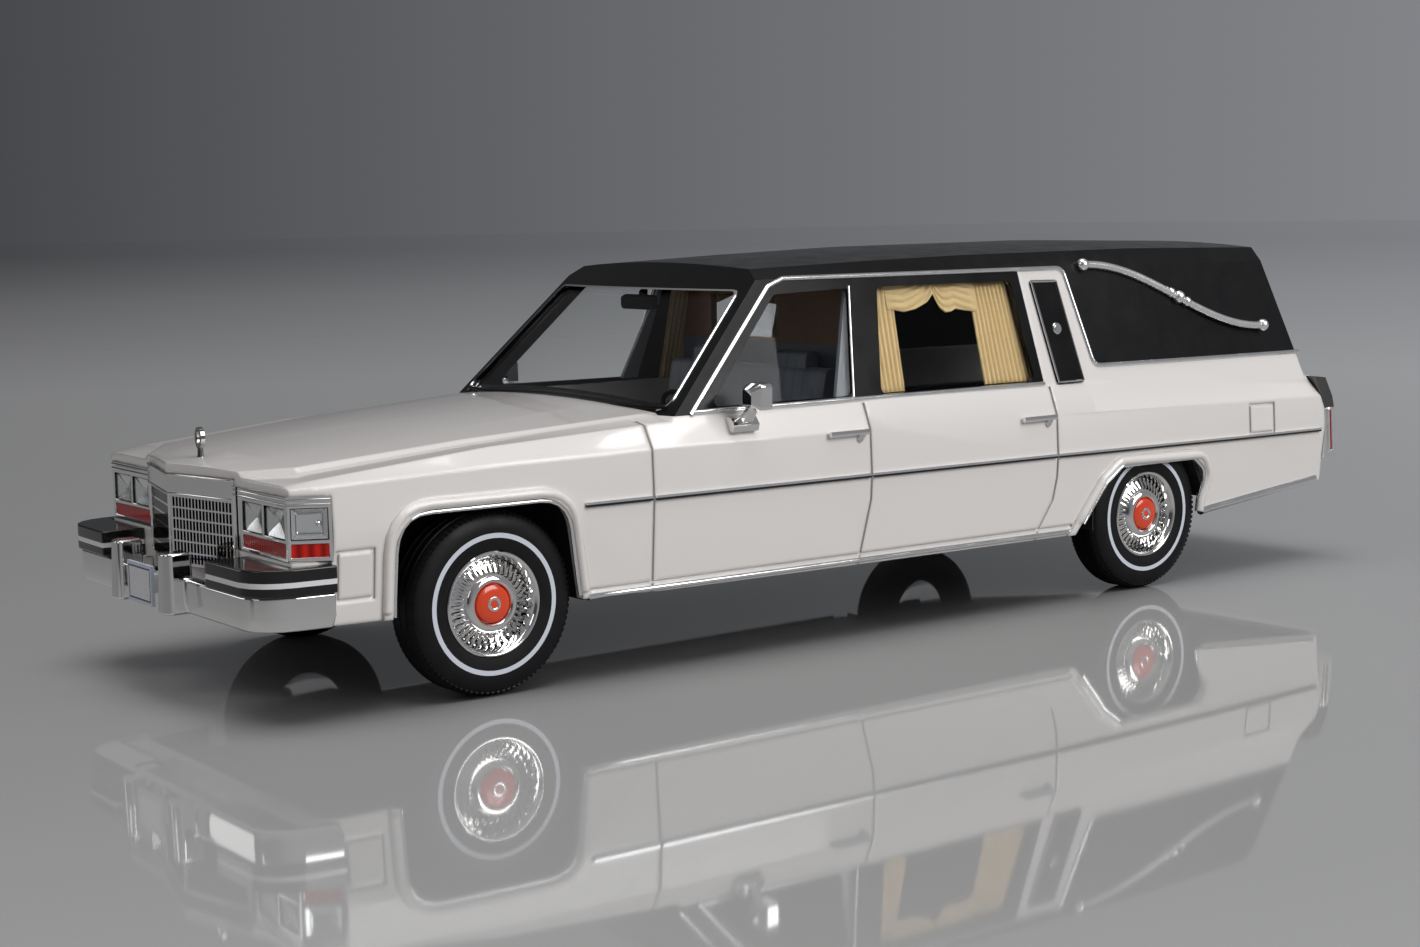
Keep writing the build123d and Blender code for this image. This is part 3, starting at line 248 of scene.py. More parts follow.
def plateMaterial(name):
    # blank plate: pale edge, thin dark line, white middle
    mat, tree = newMaterial(name)
    x, y, z = objectAxes(tree)
    rise = mathNode(tree, "SUBTRACT", z, plateSizes["midZ"])
    inward = [
        mathNode(tree, "SUBTRACT", half, mathNode(tree, "ABSOLUTE", axis))
        for half, axis in zip(plateSizes["half"], (x, rise))
    ]
    edge = mathNode(tree, "MINIMUM", *inward)
    white = mixColour(tree, noiseOn(tree, 400), (0.66, 0.66, 0.68), (0.72, 0.72, 0.74))
    rim = mixColour(tree, mathNode(tree, "LESS_THAN", edge, plateSizes["rim"]), white, (0.56, 0.60, 0.70))
    line = between(tree, edge, plateSizes["rim"], plateSizes["line"])
    return paint(mat, mixColour(tree, line, rim, (0.03, 0.035, 0.06)), (0.25, 0.35), 300)


def finMaterial(name, split):
    # bright below, with a painted dark reflection above a level in mm
    mat, tree = newMaterial(name)
    bright = mixColour(tree, noiseOn(tree, 260), (0.82, 0.82, 0.81), (0.9, 0.9, 0.89))
    upper = mathNode(tree, "GREATER_THAN", objectAxes(tree)[2], split * mm)
    return paint(mat, mixColour(tree, upper, bright, (0.16, 0.15, 0.145)), (0.26, 0.34), 300, {"Metallic": 1.0})


def seatMaterial(name, pleats):
    mat, tree = newMaterial(name)
    folds = waveOn(tree, pleats)
    tone = mixColour(tree, noiseOn(tree, 700), (0.135, 0.15, 0.19), (0.165, 0.182, 0.23))
    # painted shade: the pleats are darker where they fold in
    paintedFoldShade = rangeOf(tree, folds, 0.0, 1.0, 0.0, 0.35)
    others = {"Normal": bumpFrom(tree, folds, 0.12, foldDeep)}
    return paint(mat, mixColour(tree, paintedFoldShade, (0.128, 0.142, 0.18), tone), (0.4, 0.55), 700, others)


def partitionMaterial(name, split):
    # blue-grey below, brown wood grain above a level in mm
    mat, tree = newMaterial(name)
    upper = mathNode(tree, "GREATER_THAN", objectAxes(tree)[2], split * mm)
    wood = mixColour(tree, noiseOn(tree, 120, 5.0), (0.17, 0.066, 0.016), (0.27, 0.11, 0.028))
    plain = mixColour(tree, noiseOn(tree, 500), (0.10, 0.112, 0.145), (0.125, 0.138, 0.178))
    return paint(mat, mixColour(tree, upper, plain, wood), (0.35, 0.5), 400)


windowGlass = clearGlass("windowGlass", (0.96, 0.975, 0.975), (0.0, 0.01), 1.14)
lampGlass = clearGlass("lampGlass", (0.95, 0.96, 0.96), (0.0, 0.01), 1.12)
redLens = flutedLens("redLens", (0.25, 0.004, 0.002), (0.62, 0.018, 0.008), 700)
finMetal = finMaterial("finMetal", 18.3)
tailLens = flutedLens("tailLens", (0.10, 0.003, 0.002), (0.32, 0.010, 0.006), 700)
tyreRubber = tyreMaterial("tyreRubber")
redCap = capMaterial("redCap")
frontStrip = bandMaterial("frontStrip", 12.3, 12.75)
rearStrip = bandMaterial("rearStrip", 11.35, 11.65)
sideStrip = mouldingMaterial("sideStrip")
grilleChrome = grilleMaterial("grilleChrome")
plateBlank = plateMaterial("plateBlank")
seatVinyl = seatMaterial("seatVinyl", 190)
partitionWood = partitionMaterial("partitionWood", 28.8)

# every solid of the frame, by its finish
finishRows = [
    (whitePaint, "body_shell"), (blackRoof, "roof_shell"), (blackTrim, "door_frames coach_panels"),
    (windowGlass, "windscreen front_door_glass rear_door_glass tailgate_glass"), (lampGlass, "headlamp_lenses"),
    (drapeCream, "drapes"), (silverFoil, "roof_trims screen_trim lower_trims"), (sideStrip, "side_mouldings"),
    (chrome, "landau_bars lamp_bezels front_bumper rear_bumper door_handles door_mirrors"),
    (chrome, "wheel_covers_front wheel_covers_rear"), (grilleChrome, "grille"), (redLens, "marker_lenses"),
    (frontStrip, "front_bumper_strip"), (rearStrip, "rear_bumper_strip"), (plateBlank, "front_plate"),
    (tailLens, "tail_lamp_lenses"), (finMetal, "tail_lamp_bezels"), (darkReflectionChrome, "hood_ornament"),
    (baseCasting, "baseplate"), (cabinBlack, "interior_tub steering_wheel cabin_mirror"), (seatVinyl, "bench_seat"),
    (partitionWood, "partition"), (dashBlack, "dashboard"), (axleSteel, "axle_front axle_rear"),
    (tyreRubber, "tyre_front_left tyre_front_right tyre_rear_left tyre_rear_right"), (redCap, "caps_front caps_rear"),
]
nodeFinishes = {node: mat for mat, row in finishRows for node in row.split()}
for name, mat in nodeFinishes.items():
    nodes[name].data.materials.clear()
    nodes[name].data.materials.append(mat)
print("finishes set on", len(nodeFinishes), "solids")


def newObject(name, data):
    obj = bpy.data.objects.new(name, data)
    scene.collection.objects.link(obj)
    return obj


def dress(name, mesh, mat, standsFor=(), body="body"):
    mesh.name = name
    mesh.materials.clear()
    mesh.materials.append(mat)
    piece = newObject(name, mesh)
    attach(piece, body)
    if standsFor:
        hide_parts(*standsFor)


def build(name, fill, mat, standsFor=(), angle=35):
    bm = bmesh.new()
    fill(bm)
    dress(name, meshFrom(bm, angle), mat, standsFor)


def plainMesh(obj):
    graph = bpy.context.evaluated_depsgraph_get()
    mesh = bpy.data.meshes.new_from_object(obj.evaluated_get(graph))
    bpy.data.objects.remove(obj)
    return mesh


def meshFrom(bm, angle=35):
    mesh = bpy.data.meshes.new("piece")
    bm.to_mesh(mesh)
    bm.free()
    mesh.polygons.foreach_set("use_smooth", [True] * len(mesh.polygons))
    mesh.set_sharp_from_angle(angle=math.radians(angle))
    return mesh


# solids whose edges are rounded here: new name, width in mm, steps, angle from which an edge is rounded, slot
roundings = {
    "body_shell": ("paintedBody", 0.16, 3, 20, "white_paint"),
    "roof_shell": ("paintedRoof", 0.3, 3, 16, "black_roof"),
    "front_bumper": ("frontBumperBar", 0.34, 4, 22, "chrome_trim"),
    "front_bumper_strip": ("frontBumperRubber", 0.16, 3, 25, "black_rubber"),
    "rear_bumper": ("rearBumperBar", 0.2, 3, 25, "chrome_trim"),
    "rear_bumper_strip": ("rearBumperRubber", 0.16, 3, 25, "black_rubber"),
    "lamp_bezels": ("lampFrames", 0.1, 2, 30, "chrome_trim"),
    "tail_lamp_bezels": ("tailLampFins", 0.14, 3, 25, "chrome_trim"),
    "door_mirrors": ("mirrorShells", 0.16, 3, 25, "chrome_trim"),
    "bench_seat": ("benchCushion", 0.5, 3, 30, "seat_plastic"),
    "dashboard": ("dashTop", 0.3, 3, 30, "dark_plastic"),
}


def roundedCopy(nodeName, width, steps, angle):
    bm = bmesh.new()
    bm.from_mesh(nodes[nodeName].data)
    bmesh.ops.remove_doubles(bm, verts=bm.verts, dist=weld)
    bmesh.ops.dissolve_limit(bm, angle_limit=math.radians(0.8), verts=bm.verts, edges=bm.edges)
    rough = newObject("rough", meshFrom(bm, angle=80))
    edge = rough.modifiers.new("edge", "BEVEL")
    edge.width = width * mm
    edge.segments = steps
    edge.limit_method = "ANGLE"
    edge.angle_limit = math.radians(angle)
    level = rough.modifiers.new("level", "WEIGHTED_NORMAL")
    level.weight = 60
    return plainMesh(rough)


for nodeName, (name, width, steps, angle, slotName) in roundings.items():
    dress(name, roundedCopy(nodeName, width, steps, angle), nodeFinishes[nodeName], (nodeName,))
print("edges rounded on", len(roundings), "pieces")


# a ring of small blocks round an axle, laid out by geometry nodes
ringInputs = {
    "Count": "Int", "Radius": "Float", "Across": "Float", "Lean": "Float", "Tilt": "Float", "Start": "Float",
    "Size": "Vector", "Material": "Material",
}


def ringTree():
    tree = bpy.data.node_groups.new("wheelRing", "GeometryNodeTree")
    tree.interface.new_socket("Geometry", in_out="OUTPUT", socket_type="NodeSocketGeometry")
    keys = {}
    for label, kind in ringInputs.items():
        keys[label] = tree.interface.new_socket(label, in_out="INPUT", socket_type="NodeSocket" + kind).identifier
    given = tree.nodes.new("NodeGroupInput").outputs
    turn = mathNode(tree, "MULTIPLY", feed(tree, "GeometryNodeInputIndex", {}), 2 * math.pi)
    turn = mathNode(tree, "ADD", mathNode(tree, "DIVIDE", turn, given["Count"]), given["Start"])
    along, rise = (mathNode(tree, "MULTIPLY", mathNode(tree, wave, turn), given["Radius"]) for wave in ("COSINE", "SINE"))
    place = feed(tree, "ShaderNodeCombineXYZ", {0: given["Across"], 1: along, 2: rise})
    points = feed(tree, "GeometryNodePoints", {"Count": given["Count"], "Position": place})
    leaning = mathNode(tree, "ADD", mathNode(tree, "SUBTRACT", turn, math.pi / 2), given["Lean"])
    angles = feed(tree, "ShaderNodeCombineXYZ", {0: leaning})
    cube = feed(tree, "GeometryNodeMeshCube", {"Size": given["Size"]})
    tip = feed(tree, "ShaderNodeCombineXYZ", {1: given["Tilt"]})
    tipped = feed(tree, "GeometryNodeTransform", {"Geometry": cube, "Rotation": tip})
    spread = {"Points": points, "Instance": tipped, "Rotation": angles}
    blocks = feed(tree, "GeometryNodeRealizeInstances", {0: feed(tree, "GeometryNodeInstanceOnPoints", spread)})
    coated = feed(tree, "GeometryNodeSetMaterial", {"Geometry": blocks, "Material": given["Material"]})
    tree.links.new(coated, tree.nodes.new("NodeGroupOutput").inputs[0])
    return tree, keys


ring, ringKeys = ringTree()


def addRing(bm, axleY, side, values, mat):
    holder = newObject("holder", bpy.data.meshes.new("holder"))
    layout = holder.modifiers.new("layout", "NODES")
    layout.node_group = ring
    mirrored = {key: values.get(key, 0.0) * side for key in ("Lean", "Tilt")}
    metres = {"Radius": values["Radius"] * mm, "Across": values["Across"] * mm * side, "Size": Vector(values["Size"]) * mm}
    for label, value in {**values, **mirrored, **metres, "Material": mat}.items():
        layout[ringKeys[label]] = value
    mesh = plainMesh(holder)
    mesh.transform(Matrix.Translation((0, axleY * mm, gear["axleZ"] * mm)))
    bm.from_mesh(mesh)
    bpy.data.meshes.remove(mesh)


def axleSpot(across, axleY, radius, turn):
    return Vector((across, axleY + radius * math.cos(turn), gear["axleZ"] + radius * math.sin(turn))) * mm


# faces between neighbouring rows of points; a row of one point is a tip
def bridge(bm, rows, count):
    faces = []
    for first, second in zip(rows, rows[1:]):
        for step in range(count):
            follow = (step + 1) % count
            corners = [first[step % len(first)], first[follow % len(first)]]
            corners += [second[follow % len(second)], second[step % len(second)]]
            faces.append(bm.faces.new(list(dict.fromkeys(corners))))
    return faces


def addTurned(bm, profile, axleY, side, steps):
    # profile of (across, radius) in mm, turned about the axle
    rows = []
    for across, radius in profile:
        turns = [2 * math.pi * step / steps for step in range(steps if radius else 1)]
        rows.append([bm.verts.new(axleSpot(side * across, axleY, radius, turn)) for turn in turns])
    bmesh.ops.recalc_face_normals(bm, faces=bridge(bm, rows, steps))


# bright wheel covers: polished lip, deep dish, two layers of wires with studs outside, a raised ring round the cap
coverSizes = {
    "profile": [
        (17.05, 0), (17.05, 3.6), (17.4, 4.82), (20.2, 4.83), (20.36, 4.8), (20.44, 4.71), (20.45, 4.62), (20.4, 4.52),
        (20.2, 4.38), (19.9, 4.24), (19.5, 4.1), (19.2, 3.98), (19.05, 3.85), (19.1, 3.6), (19.3, 3.15), (19.6, 2.86),
        (19.85, 2.72), (20.06, 2.6), (20.22, 2.42), (20.3, 2.2), (20.3, 2.04), (20.2, 1.9), (20.0, 1.8), (19.72, 1.78),
        (19.7, 0),
    ],
    "steps": 72, "capSteps": 48,
    "wires": [
        {"Count": 36, "Radius": 3.35, "Across": 19.5, "Lean": 0.16, "Tilt": -0.45, "Size": (0.2, 0.17, 1.2)},
        {"Count": 36, "Radius": 3.35, "Across": 19.36, "Lean": -0.16, "Tilt": -0.45, "Start": 0.087,
         "Size": (0.16, 0.13, 1.2)},
        {"Count": 36, "Radius": 3.8, "Across": 19.4, "Tilt": -0.45, "Start": 0.04, "Size": (0.26, 0.26, 0.3)},
    ],
    "cap": [
        (19.72, 0), (19.72, 1.75), (20.0, 1.74), (20.14, 1.68), (20.24, 1.5), (20.3, 1.2), (20.34, 0.85), (20.35, 0.69),
        (20.41, 0.66), (20.43, 0.6), (20.43, 0.46), (20.4, 0.4), (20.35, 0.36), (20.36, 0),
    ],
}
for body in ("front_axle", "rear_axle"):
    bm, caps = bmesh.new(), bmesh.new()
    for side in (1, -1):
        addTurned(bm, coverSizes["profile"], gear[body], side, coverSizes["steps"])
        addTurned(caps, coverSizes["cap"], gear[body], side, coverSizes["capSteps"])
        for values in coverSizes["wires"]:
            addRing(bm, gear[body], side, values, chrome)
    end = body[:-5]
    dress(end + "Covers", meshFrom(bm), chrome, ("wheel_covers_" + end,), body)
    dress(end + "Caps", meshFrom(caps), redCap, ("caps_" + end,), body)
print("wheel covers done")

# tyres: bulged walls, three grooves round the tread and blocks on the shoulders
tyreSizes = {
    "profile": [
        (16.4, 4.86), (16.05, 5.3), (15.88, 6.2), (15.92, 7.1), (16.12, 7.7), (16.36, 8.08), (16.66, 8.3), (16.95, 8.4),
        (17.05, 8.42), (17.12, 8.24), (17.24, 8.24), (17.31, 8.42), (18.12, 8.42), (18.19, 8.24), (18.31, 8.24),
        (18.38, 8.42), (19.2, 8.42), (19.27, 8.24), (19.39, 8.24), (19.46, 8.4), (19.7, 8.32), (19.95, 8.16), (20.16, 7.92),
        (20.32, 7.58), (20.43, 7.15), (20.47, 6.8), (20.46, 6.45), (20.5, 6.42), (20.5, 5.98), (20.46, 5.94), (20.42, 5.4),
        (20.3, 4.86), (16.4, 4.86),
    ],
    "steps": 84,
    "blocks": [
        {"Count": 90, "Radius": 8.13, "Across": 19.95, "Tilt": 0.55, "Size": (0.5, 0.3, 0.16)},
        {"Count": 90, "Radius": 8.13, "Across": 16.48, "Tilt": -0.55, "Size": (0.5, 0.3, 0.16)},
    ],
}
for body in ("front_axle", "rear_axle"):
    bm = bmesh.new()
    for side in (1, -1):
        addTurned(bm, tyreSizes["profile"], gear[body], side, tyreSizes["steps"])
        for values in tyreSizes["blocks"]:
            addRing(bm, gear[body], side, values, tyreRubber)
    bmesh.ops.remove_doubles(bm, verts=bm.verts, dist=1e-7)
    end = body[:-5]
    pair = ("tyre_" + end + "_left", "tyre_" + end + "_right")
    dress(end + "Tyres", meshFrom(bm), tyreRubber, pair, body)
print("tyres done")


def lerp(points, value):
    for (a, p), (b, q) in zip(points, points[1:]):
        if value <= b:
            return p + (q - p) * max(0.0, (value - a) / (b - a))
    return points[-1][1]


# the leaning side of the cabin: x in mm at a place along and up
sideWall = {"rows": [(-32.0, 20.35), (-13.0, 20.4), (14.0, 20.4), (40.0, 20.3), (68.0, 19.5)], "footZ": 22.0, "lean": 0.2676}


def sideX(y, z, inset=0.0):
    return lerp(sideWall["rows"], y) - (z - sideWall["footZ"]) * sideWall["lean"] - inset


# moulded drapes: two pleated curtains and a swagged valance behind each rear door window
drapeSizes = {
    "frontEdge": [(23.9, -0.9), (35.2, -0.9)], "frontInner": [(23.9, 3.3), (32.3, 3.75), (35.2, 4.2)],
    "rearInner": [(23.9, 14.65), (32.0, 14.75), (35.2, 14.6)], "rearEdge": [(23.9, 22.0), (35.2, 21.3)],
    "valance": [
        (-0.9, 32.6), (3.7, 32.5), (5.0, 32.25), (6.5, 32.5), (8.2, 33.1), (9.0, 33.75), (9.3, 34.0), (9.55, 33.3),
        (9.9, 32.5), (10.6, 32.0), (11.4, 32.05), (12.2, 32.35), (13.5, 32.1), (14.8, 31.9), (21.6, 32.2),
    ],
    "pleat": 0.62, "deep": 0.13, "thick": 0.14, "low": 23.9, "high": 11.2, "inset": 1.27, "widthAt": 29.0,
    "span": (2.9, 15.6), "top": 35.2, "ends": 1.2, "swag": 0.1, "swagStep": 0.8, "peak": 9.3, "spread": 0.12,
    "valanceInset": 1.22, "proud": 0.28,
}


def addSheet(bm, across, up, spot):
    grid = [[bm.verts.new(Vector(spot(i / across, j / up)) * mm) for i in range(across + 1)] for j in range(up + 1)]
    for j in range(up):
        for i in range(across):
            bm.faces.new((grid[j][i], grid[j][i + 1], grid[j + 1][i + 1], grid[j + 1][i]))


def makeDrapes():
    sizes = drapeSizes
    bm = bmesh.new()
    first, last = sizes["span"]
    for side in (1, -1):
        def curtain(left, right):
            wide = lerp(right, sizes["widthAt"]) - lerp(left, sizes["widthAt"])

            def spot(u, v):
                z = sizes["low"] + v * sizes["high"]
                y = lerp(left, z) + u * (lerp(right, z) - lerp(left, z))
                fold = sizes["deep"] * math.sin(2 * math.pi * u * wide / sizes["pleat"])
                return side * sideX(y, z, sizes["inset"] - fold), y, z
            return spot

        def valance(u, v):
            y = first + u * (last - first)
            low = lerp(sizes["valance"], y)
            z = low + v * (sizes["top"] - low)
            inside = max(0.0, min(1.0, (y - first) / sizes["ends"], (last - y) / sizes["ends"]))
            wave = (z - low + sizes["spread"] * abs(y - sizes["peak"])) / sizes["swagStep"]
            fold = sizes["swag"] * math.sin(2 * math.pi * wave) * inside
            return side * sideX(y, z, sizes["valanceInset"] - sizes["proud"] * inside - fold), y, z

        addSheet(bm, 48, 14, curtain(sizes["frontEdge"], sizes["frontInner"]))
        addSheet(bm, 84, 14, curtain(sizes["rearInner"], sizes["rearEdge"]))
        addSheet(bm, 110, 22, valance)
    sheet = newObject("sheet", meshFrom(bm, angle=60))
    wall = sheet.modifiers.new("wall", "SOLIDIFY")
    wall.thickness = sizes["thick"] * mm
    wall.offset = 0
    return plainMesh(sheet)


dress("mouldedDrapes", makeDrapes(), drapeCream, ("drapes",))
print("drapes done")


# tubes along a line, for beads and pipes
def tubeMesh(paths, radius, closed=False, rounded=2):
    curve = bpy.data.curves.new("bead", "CURVE")
    curve.dimensions = "3D"
    curve.bevel_depth = radius * mm
    curve.bevel_resolution = rounded
    curve.use_fill_caps = True
    for path in paths:
        line = curve.splines.new("POLY")
        line.points.add(len(path) - 1)
        for point, at in zip(line.points, path):
            point.co = (*(Vector(at) * mm), 1)
        line.use_cyclic_u = closed
    return plainMesh(newObject("bead", curve))


def addTubes(bm, paths, radius, closed=False, rounded=2):
    mesh = tubeMesh(paths, radius, closed, rounded)
    bm.from_mesh(mesh)
    bpy.data.meshes.remove(mesh)


def bothSides(path):
    return [[(side * x, y, z) for x, y, z in path] for side in (1, -1)]


# a flat path with rounded corners, in steps of about a millimetre
def roundedPath(points, radius, closed=False, step=1.0):
    corners = [Vector(point) for point in points]
    path = []
    for i, corner in enumerate(corners):
        if not closed and i in (0, len(corners) - 1):
            path.append(corner)
            continue
        before, after = corners[i - 1] - corner, corners[(i + 1) % len(corners)] - corner
        reach = min(radius / math.tan(before.angle(after) / 2), before.length * 0.45, after.length * 0.45)
        first, last = corner + before.normalized() * reach, corner + after.normalized() * reach
        path += [first.lerp(corner, t).lerp(corner.lerp(last, t), t) for t in (0, 0.2, 0.4, 0.6, 0.8, 1)]
    dense = []
    for a, b in zip(path, path[1:] + path[:1] if closed else path[1:]):
        parts = max(1, round((b - a).length / step))
        dense += [a.lerp(b, k / parts) for k in range(parts)]
    return dense if closed else dense + path[-1:]


# a plate between two outlines of as many points, in mm
def addPlate(bm, front, back):
    rings = [[bm.verts.new(Vector(point) * mm) for point in ring] for ring in (front, back)]
    faces = [bm.faces.new(rings[0]), bm.faces.new(rings[1][::-1])]
    for i in range(len(front)):
        j = (i + 1) % len(front)
        faces.append(bm.faces.new((rings[0][i], rings[1][i], rings[1][j], rings[0][j])))
    bmesh.ops.recalc_face_normals(bm, faces=faces)


# bright half-round trim along the roof, belt and middle pillar
trimLines = {
    "frame": ([(-24.9, 23.8), (-13.0, 35.5), (-11.0, 36.2), (28.3, 36.2), (30.5, 25.5), (66.3, 25.2)], 0.27, 1.2),
    "belt": ([(-24.6, 24.05), (22.3, 24.0)], 0.27, 0),
    "post": ([(-4.55, 24.1), (-2.6, 35.2)], 0.12, 0),
}


def fillTrims(bm):
    for points, radius, corner in trimLines.values():
        path = [(sideX(y, z), y, z) for y, z in roundedPath(points, corner)]
        addTubes(bm, bothSides(path), radius)


build("brightTrims", fillTrims, silverFoil, ("roof_trims",), angle=50)

# black beads where the windscreen meets the hood, outside and inside
cowl = {
    "half": 18.3, "beads": [(0.0, 0.24, 24.42), (1.08, 0.42, 24.2)], "crown": 24.86, "fall": 0.8, "fallAt": 17.2,
    "steps": 32, "round": 244.4, "back": 1.4, "glass": (0.728, 0.685), "foot": (-26.9, 24.0),
}


def fillCowl(bm):
    (run, rise), (footY, footZ) = cowl["glass"], cowl["foot"]
    for inset, radius, low in cowl["beads"]:
        path = []
        for step in range(cowl["steps"] + 1):
            x = (cowl["half"] - inset) * (2 * step / cowl["steps"] - 1)
            bow = x * x / cowl["round"] - cowl["back"] + inset
            z = max(low, cowl["crown"] - cowl["fall"] * (x / cowl["fallAt"]) ** 2)
            along = (z - footZ + run * bow) / rise
            path.append((x, footY + run * along + rise * bow, z))
        addTubes(bm, [path], radius)


build("cowlBead", fillCowl, blackTrim, angle=60)

# pale posts inside the front door windows
postSizes = {"outline": [(-6.2, 24.2), (-4.1, 24.2), (-2.1, 34.9), (-2.5, 34.9)], "outer": 0.86, "inner": 1.3}


def fillPosts(bm):
    faces = [[(sideX(y, z, postSizes[key]), y, z) for y, z in postSizes["outline"]] for key in ("outer", "inner")]
    for front, back in zip(*(bothSides(face) for face in faces)):
        addPlate(bm, front, back)


build("windowPosts", fillPosts, postGrey)

# steering wheel: round rim, three spokes, hub and column
helm = {
    "centre": (8.6, -16.6, 21.6), "facing": (0, 0.87, 0.5), "rim": 3.83, "thick": 0.24, "steps": 48,
    "spokes": (0, 180, 270), "spokeFrom": 0.3, "spokeR": 0.2, "hub": (0.3, -0.4), "hubR": 0.75,
    "column": 4.8, "columnR": 0.42,
}


def fillHelm(bm):
    centre, facing = Vector(helm["centre"]), Vector(helm["facing"]).normalized()
    across = Vector((1, 0, 0))
    upward = facing.cross(across)

    def rimSpot(degrees, radius):
        turn = math.radians(degrees)
        return centre + across * math.cos(turn) * radius + upward * math.sin(turn) * radius

    rim = [rimSpot(360 * step / helm["steps"], helm["rim"]) for step in range(helm["steps"])]
    addTubes(bm, [rim], helm["thick"], closed=True)
    spokes = [[rimSpot(turn, helm["spokeFrom"]), rimSpot(turn, helm["rim"])] for turn in helm["spokes"]]
    addTubes(bm, spokes, helm["spokeR"])
    addTubes(bm, [[centre + facing * reach for reach in helm["hub"]]], helm["hubR"], rounded=4)
    addTubes(bm, [[centre, centre - facing * helm["column"]]], helm["columnR"], rounded=3)


build("helmRim", fillHelm, cabinBlack, ("steering_wheel",), angle=45)
print("cabin trim done")


# how far out the painted body reaches at a place along and up
skinMesh = bmesh.new()
skinMesh.from_mesh(nodes["body_shell"].data)
bodySkin = BVHTree.FromBMesh(skinMesh)
skinMesh.free()


def outsideX(y, z):
    return bodySkin.ray_cast(Vector((0.04, y * mm, z * mm)), Vector((-1, 0, 0)))[0].x / mm


# door pulls: a round bar on two feet, and a lock button below its rear end
pullSizes = {
    "rows": [(-9.1, -4.1, 20.85), (17.6, 22.4, 20.5)], "bar": 0.3, "barEnd": 0.4, "out": 0.34, "sunk": 0.1,
    "foot": 0.26, "footAt": 0.5, "button": 0.36, "buttonAt": 0.9, "buttonLow": 0.62, "buttonOut": 0.22,
}


def fillPulls(bm):

    def addStud(y, z, out, radius, rounded):
        x = outsideX(y, z)
        addTubes(bm, bothSides([(x - pullSizes["sunk"], y, z), (x + out, y, z)]), radius, rounded=rounded)

    for y0, y1, z in pullSizes["rows"]:
        places = (y0, y0 + pullSizes["barEnd"], y1 - pullSizes["barEnd"], y1)
        bar = [(outsideX(y, z) + pullSizes["out"], y, z) for y in places]
        addTubes(bm, bothSides(bar), pullSizes["bar"], rounded=4)
        for y in (y0 + pullSizes["footAt"], y1 - pullSizes["footAt"]):
            addStud(y, z, pullSizes["out"], pullSizes["foot"], 3)
        addStud(y1 - pullSizes["buttonAt"], z - pullSizes["buttonLow"], pullSizes["buttonOut"], pullSizes["button"], 4)


build("doorPulls", fillPulls, chrome, ("door_handles",), angle=45)

# landau bars: a swept rod with ball ends and turned bosses in the middle
barSizes = {
    "centre": (17.72, 45.0, 32.7), "up": (-0.2607, 0.0, 0.9654), "rod": 0.46, "ball": 0.74, "steps": 40,
    "ends": [(-13.6, 3.85), (-3.0, 4.0), (3.9, -4.2), (14.6, -4.2)],
    "bosses": [(-0.9, 0.6, 0.45), (-0.2, 0.25, 0.6), (1.0, -0.33, 0.78), (2.2, -0.9, 0.6), (2.9, -1.25, 0.45)],
}


def fillBars(bm):
    centre, up = Vector(barSizes["centre"]), Vector(barSizes["up"])

    def spot(along, rise, side):
        at = centre + Vector((0, along, 0)) + up * rise
        return Vector((side * at.x, at.y, at.z))

    for side in (1, -1):
        path = []
        for step in range(barSizes["steps"] + 1):
            t = step / barSizes["steps"]
            share = ((1 - t) ** 3, 3 * t * (1 - t) ** 2, 3 * t * t * (1 - t), t**3)
            along, rise = (sum(k * point[axis] for k, point in zip(share, barSizes["ends"])) for axis in (0, 1))
            path.append(spot(along, rise, side))
        addTubes(bm, [path], barSizes["rod"], rounded=4)
        balls = [(*barSizes["ends"][0], barSizes["ball"]), (*barSizes["ends"][-1], barSizes["ball"])]
        for along, rise, radius in balls + barSizes["bosses"]:
            at = Matrix.Translation(spot(along, rise, side) * mm)
            bmesh.ops.create_uvsphere(bm, u_segments=20, v_segments=12, radius=radius * mm, matrix=at)


build("landauRods", fillBars, brightSilver, ("landau_bars",), angle=45)

# bright frames round the tail lamp lenses
tailFrames = {
    "outline": [(69.95, 18.2), (70.7, 18.2), (71.05, 13.0), (70.3, 13.0)], "corner": 0.2, "at": 20.46, "radius": 0.22,
}


def makeTailFrames():
    path = roundedPath(tailFrames["outline"], tailFrames["corner"], closed=True)
    return tubeMesh(bothSides([(tailFrames["at"], y, z) for y, z in path]), tailFrames["radius"], closed=True)


dress("tailLampFrames", makeTailFrames(), brightSilver)

# rounded lips round the wheel arches
archLips = {
    "front": ([(-58.05, 8.9), (-57.88, 18.1), (-39.45, 18.1), (-37.95, 8.6)], 4.1),
    "rear": ([(26.4, 8.6), (30.05, 13.1), (32.6, 14.9), (46.7, 14.55), (48.05, 12.1), (46.75, 9.2), (46.6, 7.95)], 1.9),
    "radius": {"front": 0.44, "rear": 0.52}, "sunk": 0.24, "lowest": 9.4, "step": 0.7,
}


def fillLips(bm):
    for end in ("front", "rear"):
        path = roundedPath(*archLips[end], step=archLips["step"])
        spots = [(outsideX(y, max(z, archLips["lowest"])) - archLips["sunk"], y, z) for y, z in path]
        addTubes(bm, bothSides(spots), archLips["radius"][end], rounded=3)


build("archLips", fillLips, whitePaint, angle=60)

# bright edges inside the lips, and strips along the sills
archEdges = {
    "front": ([(-57.38, 8.5), (-57.2, 17.42), (-40.05, 17.42), (-38.55, 8.3)], 3.4, (-48.5, 9.0)),
    "rear": (
        [(27.2, 8.4), (30.55, 12.68), (32.95, 14.35), (45.05, 14.25), (47.2, 12.6), (46.3, 9.4), (46.1, 8.1)],
        1.5, (38.0, 9.0),
    ),
    "radius": 0.2, "probe": 0.6, "sunk": 0.16,
    "sills": [((-37.7, 8.0), (25.6, 7.75), 0.3), ((46.9, 7.95), (68.5, 9.85), 0.48)],
    "sillProbe": 1.2, "sillSunk": 0.6, "sillStep": 2.0,
}


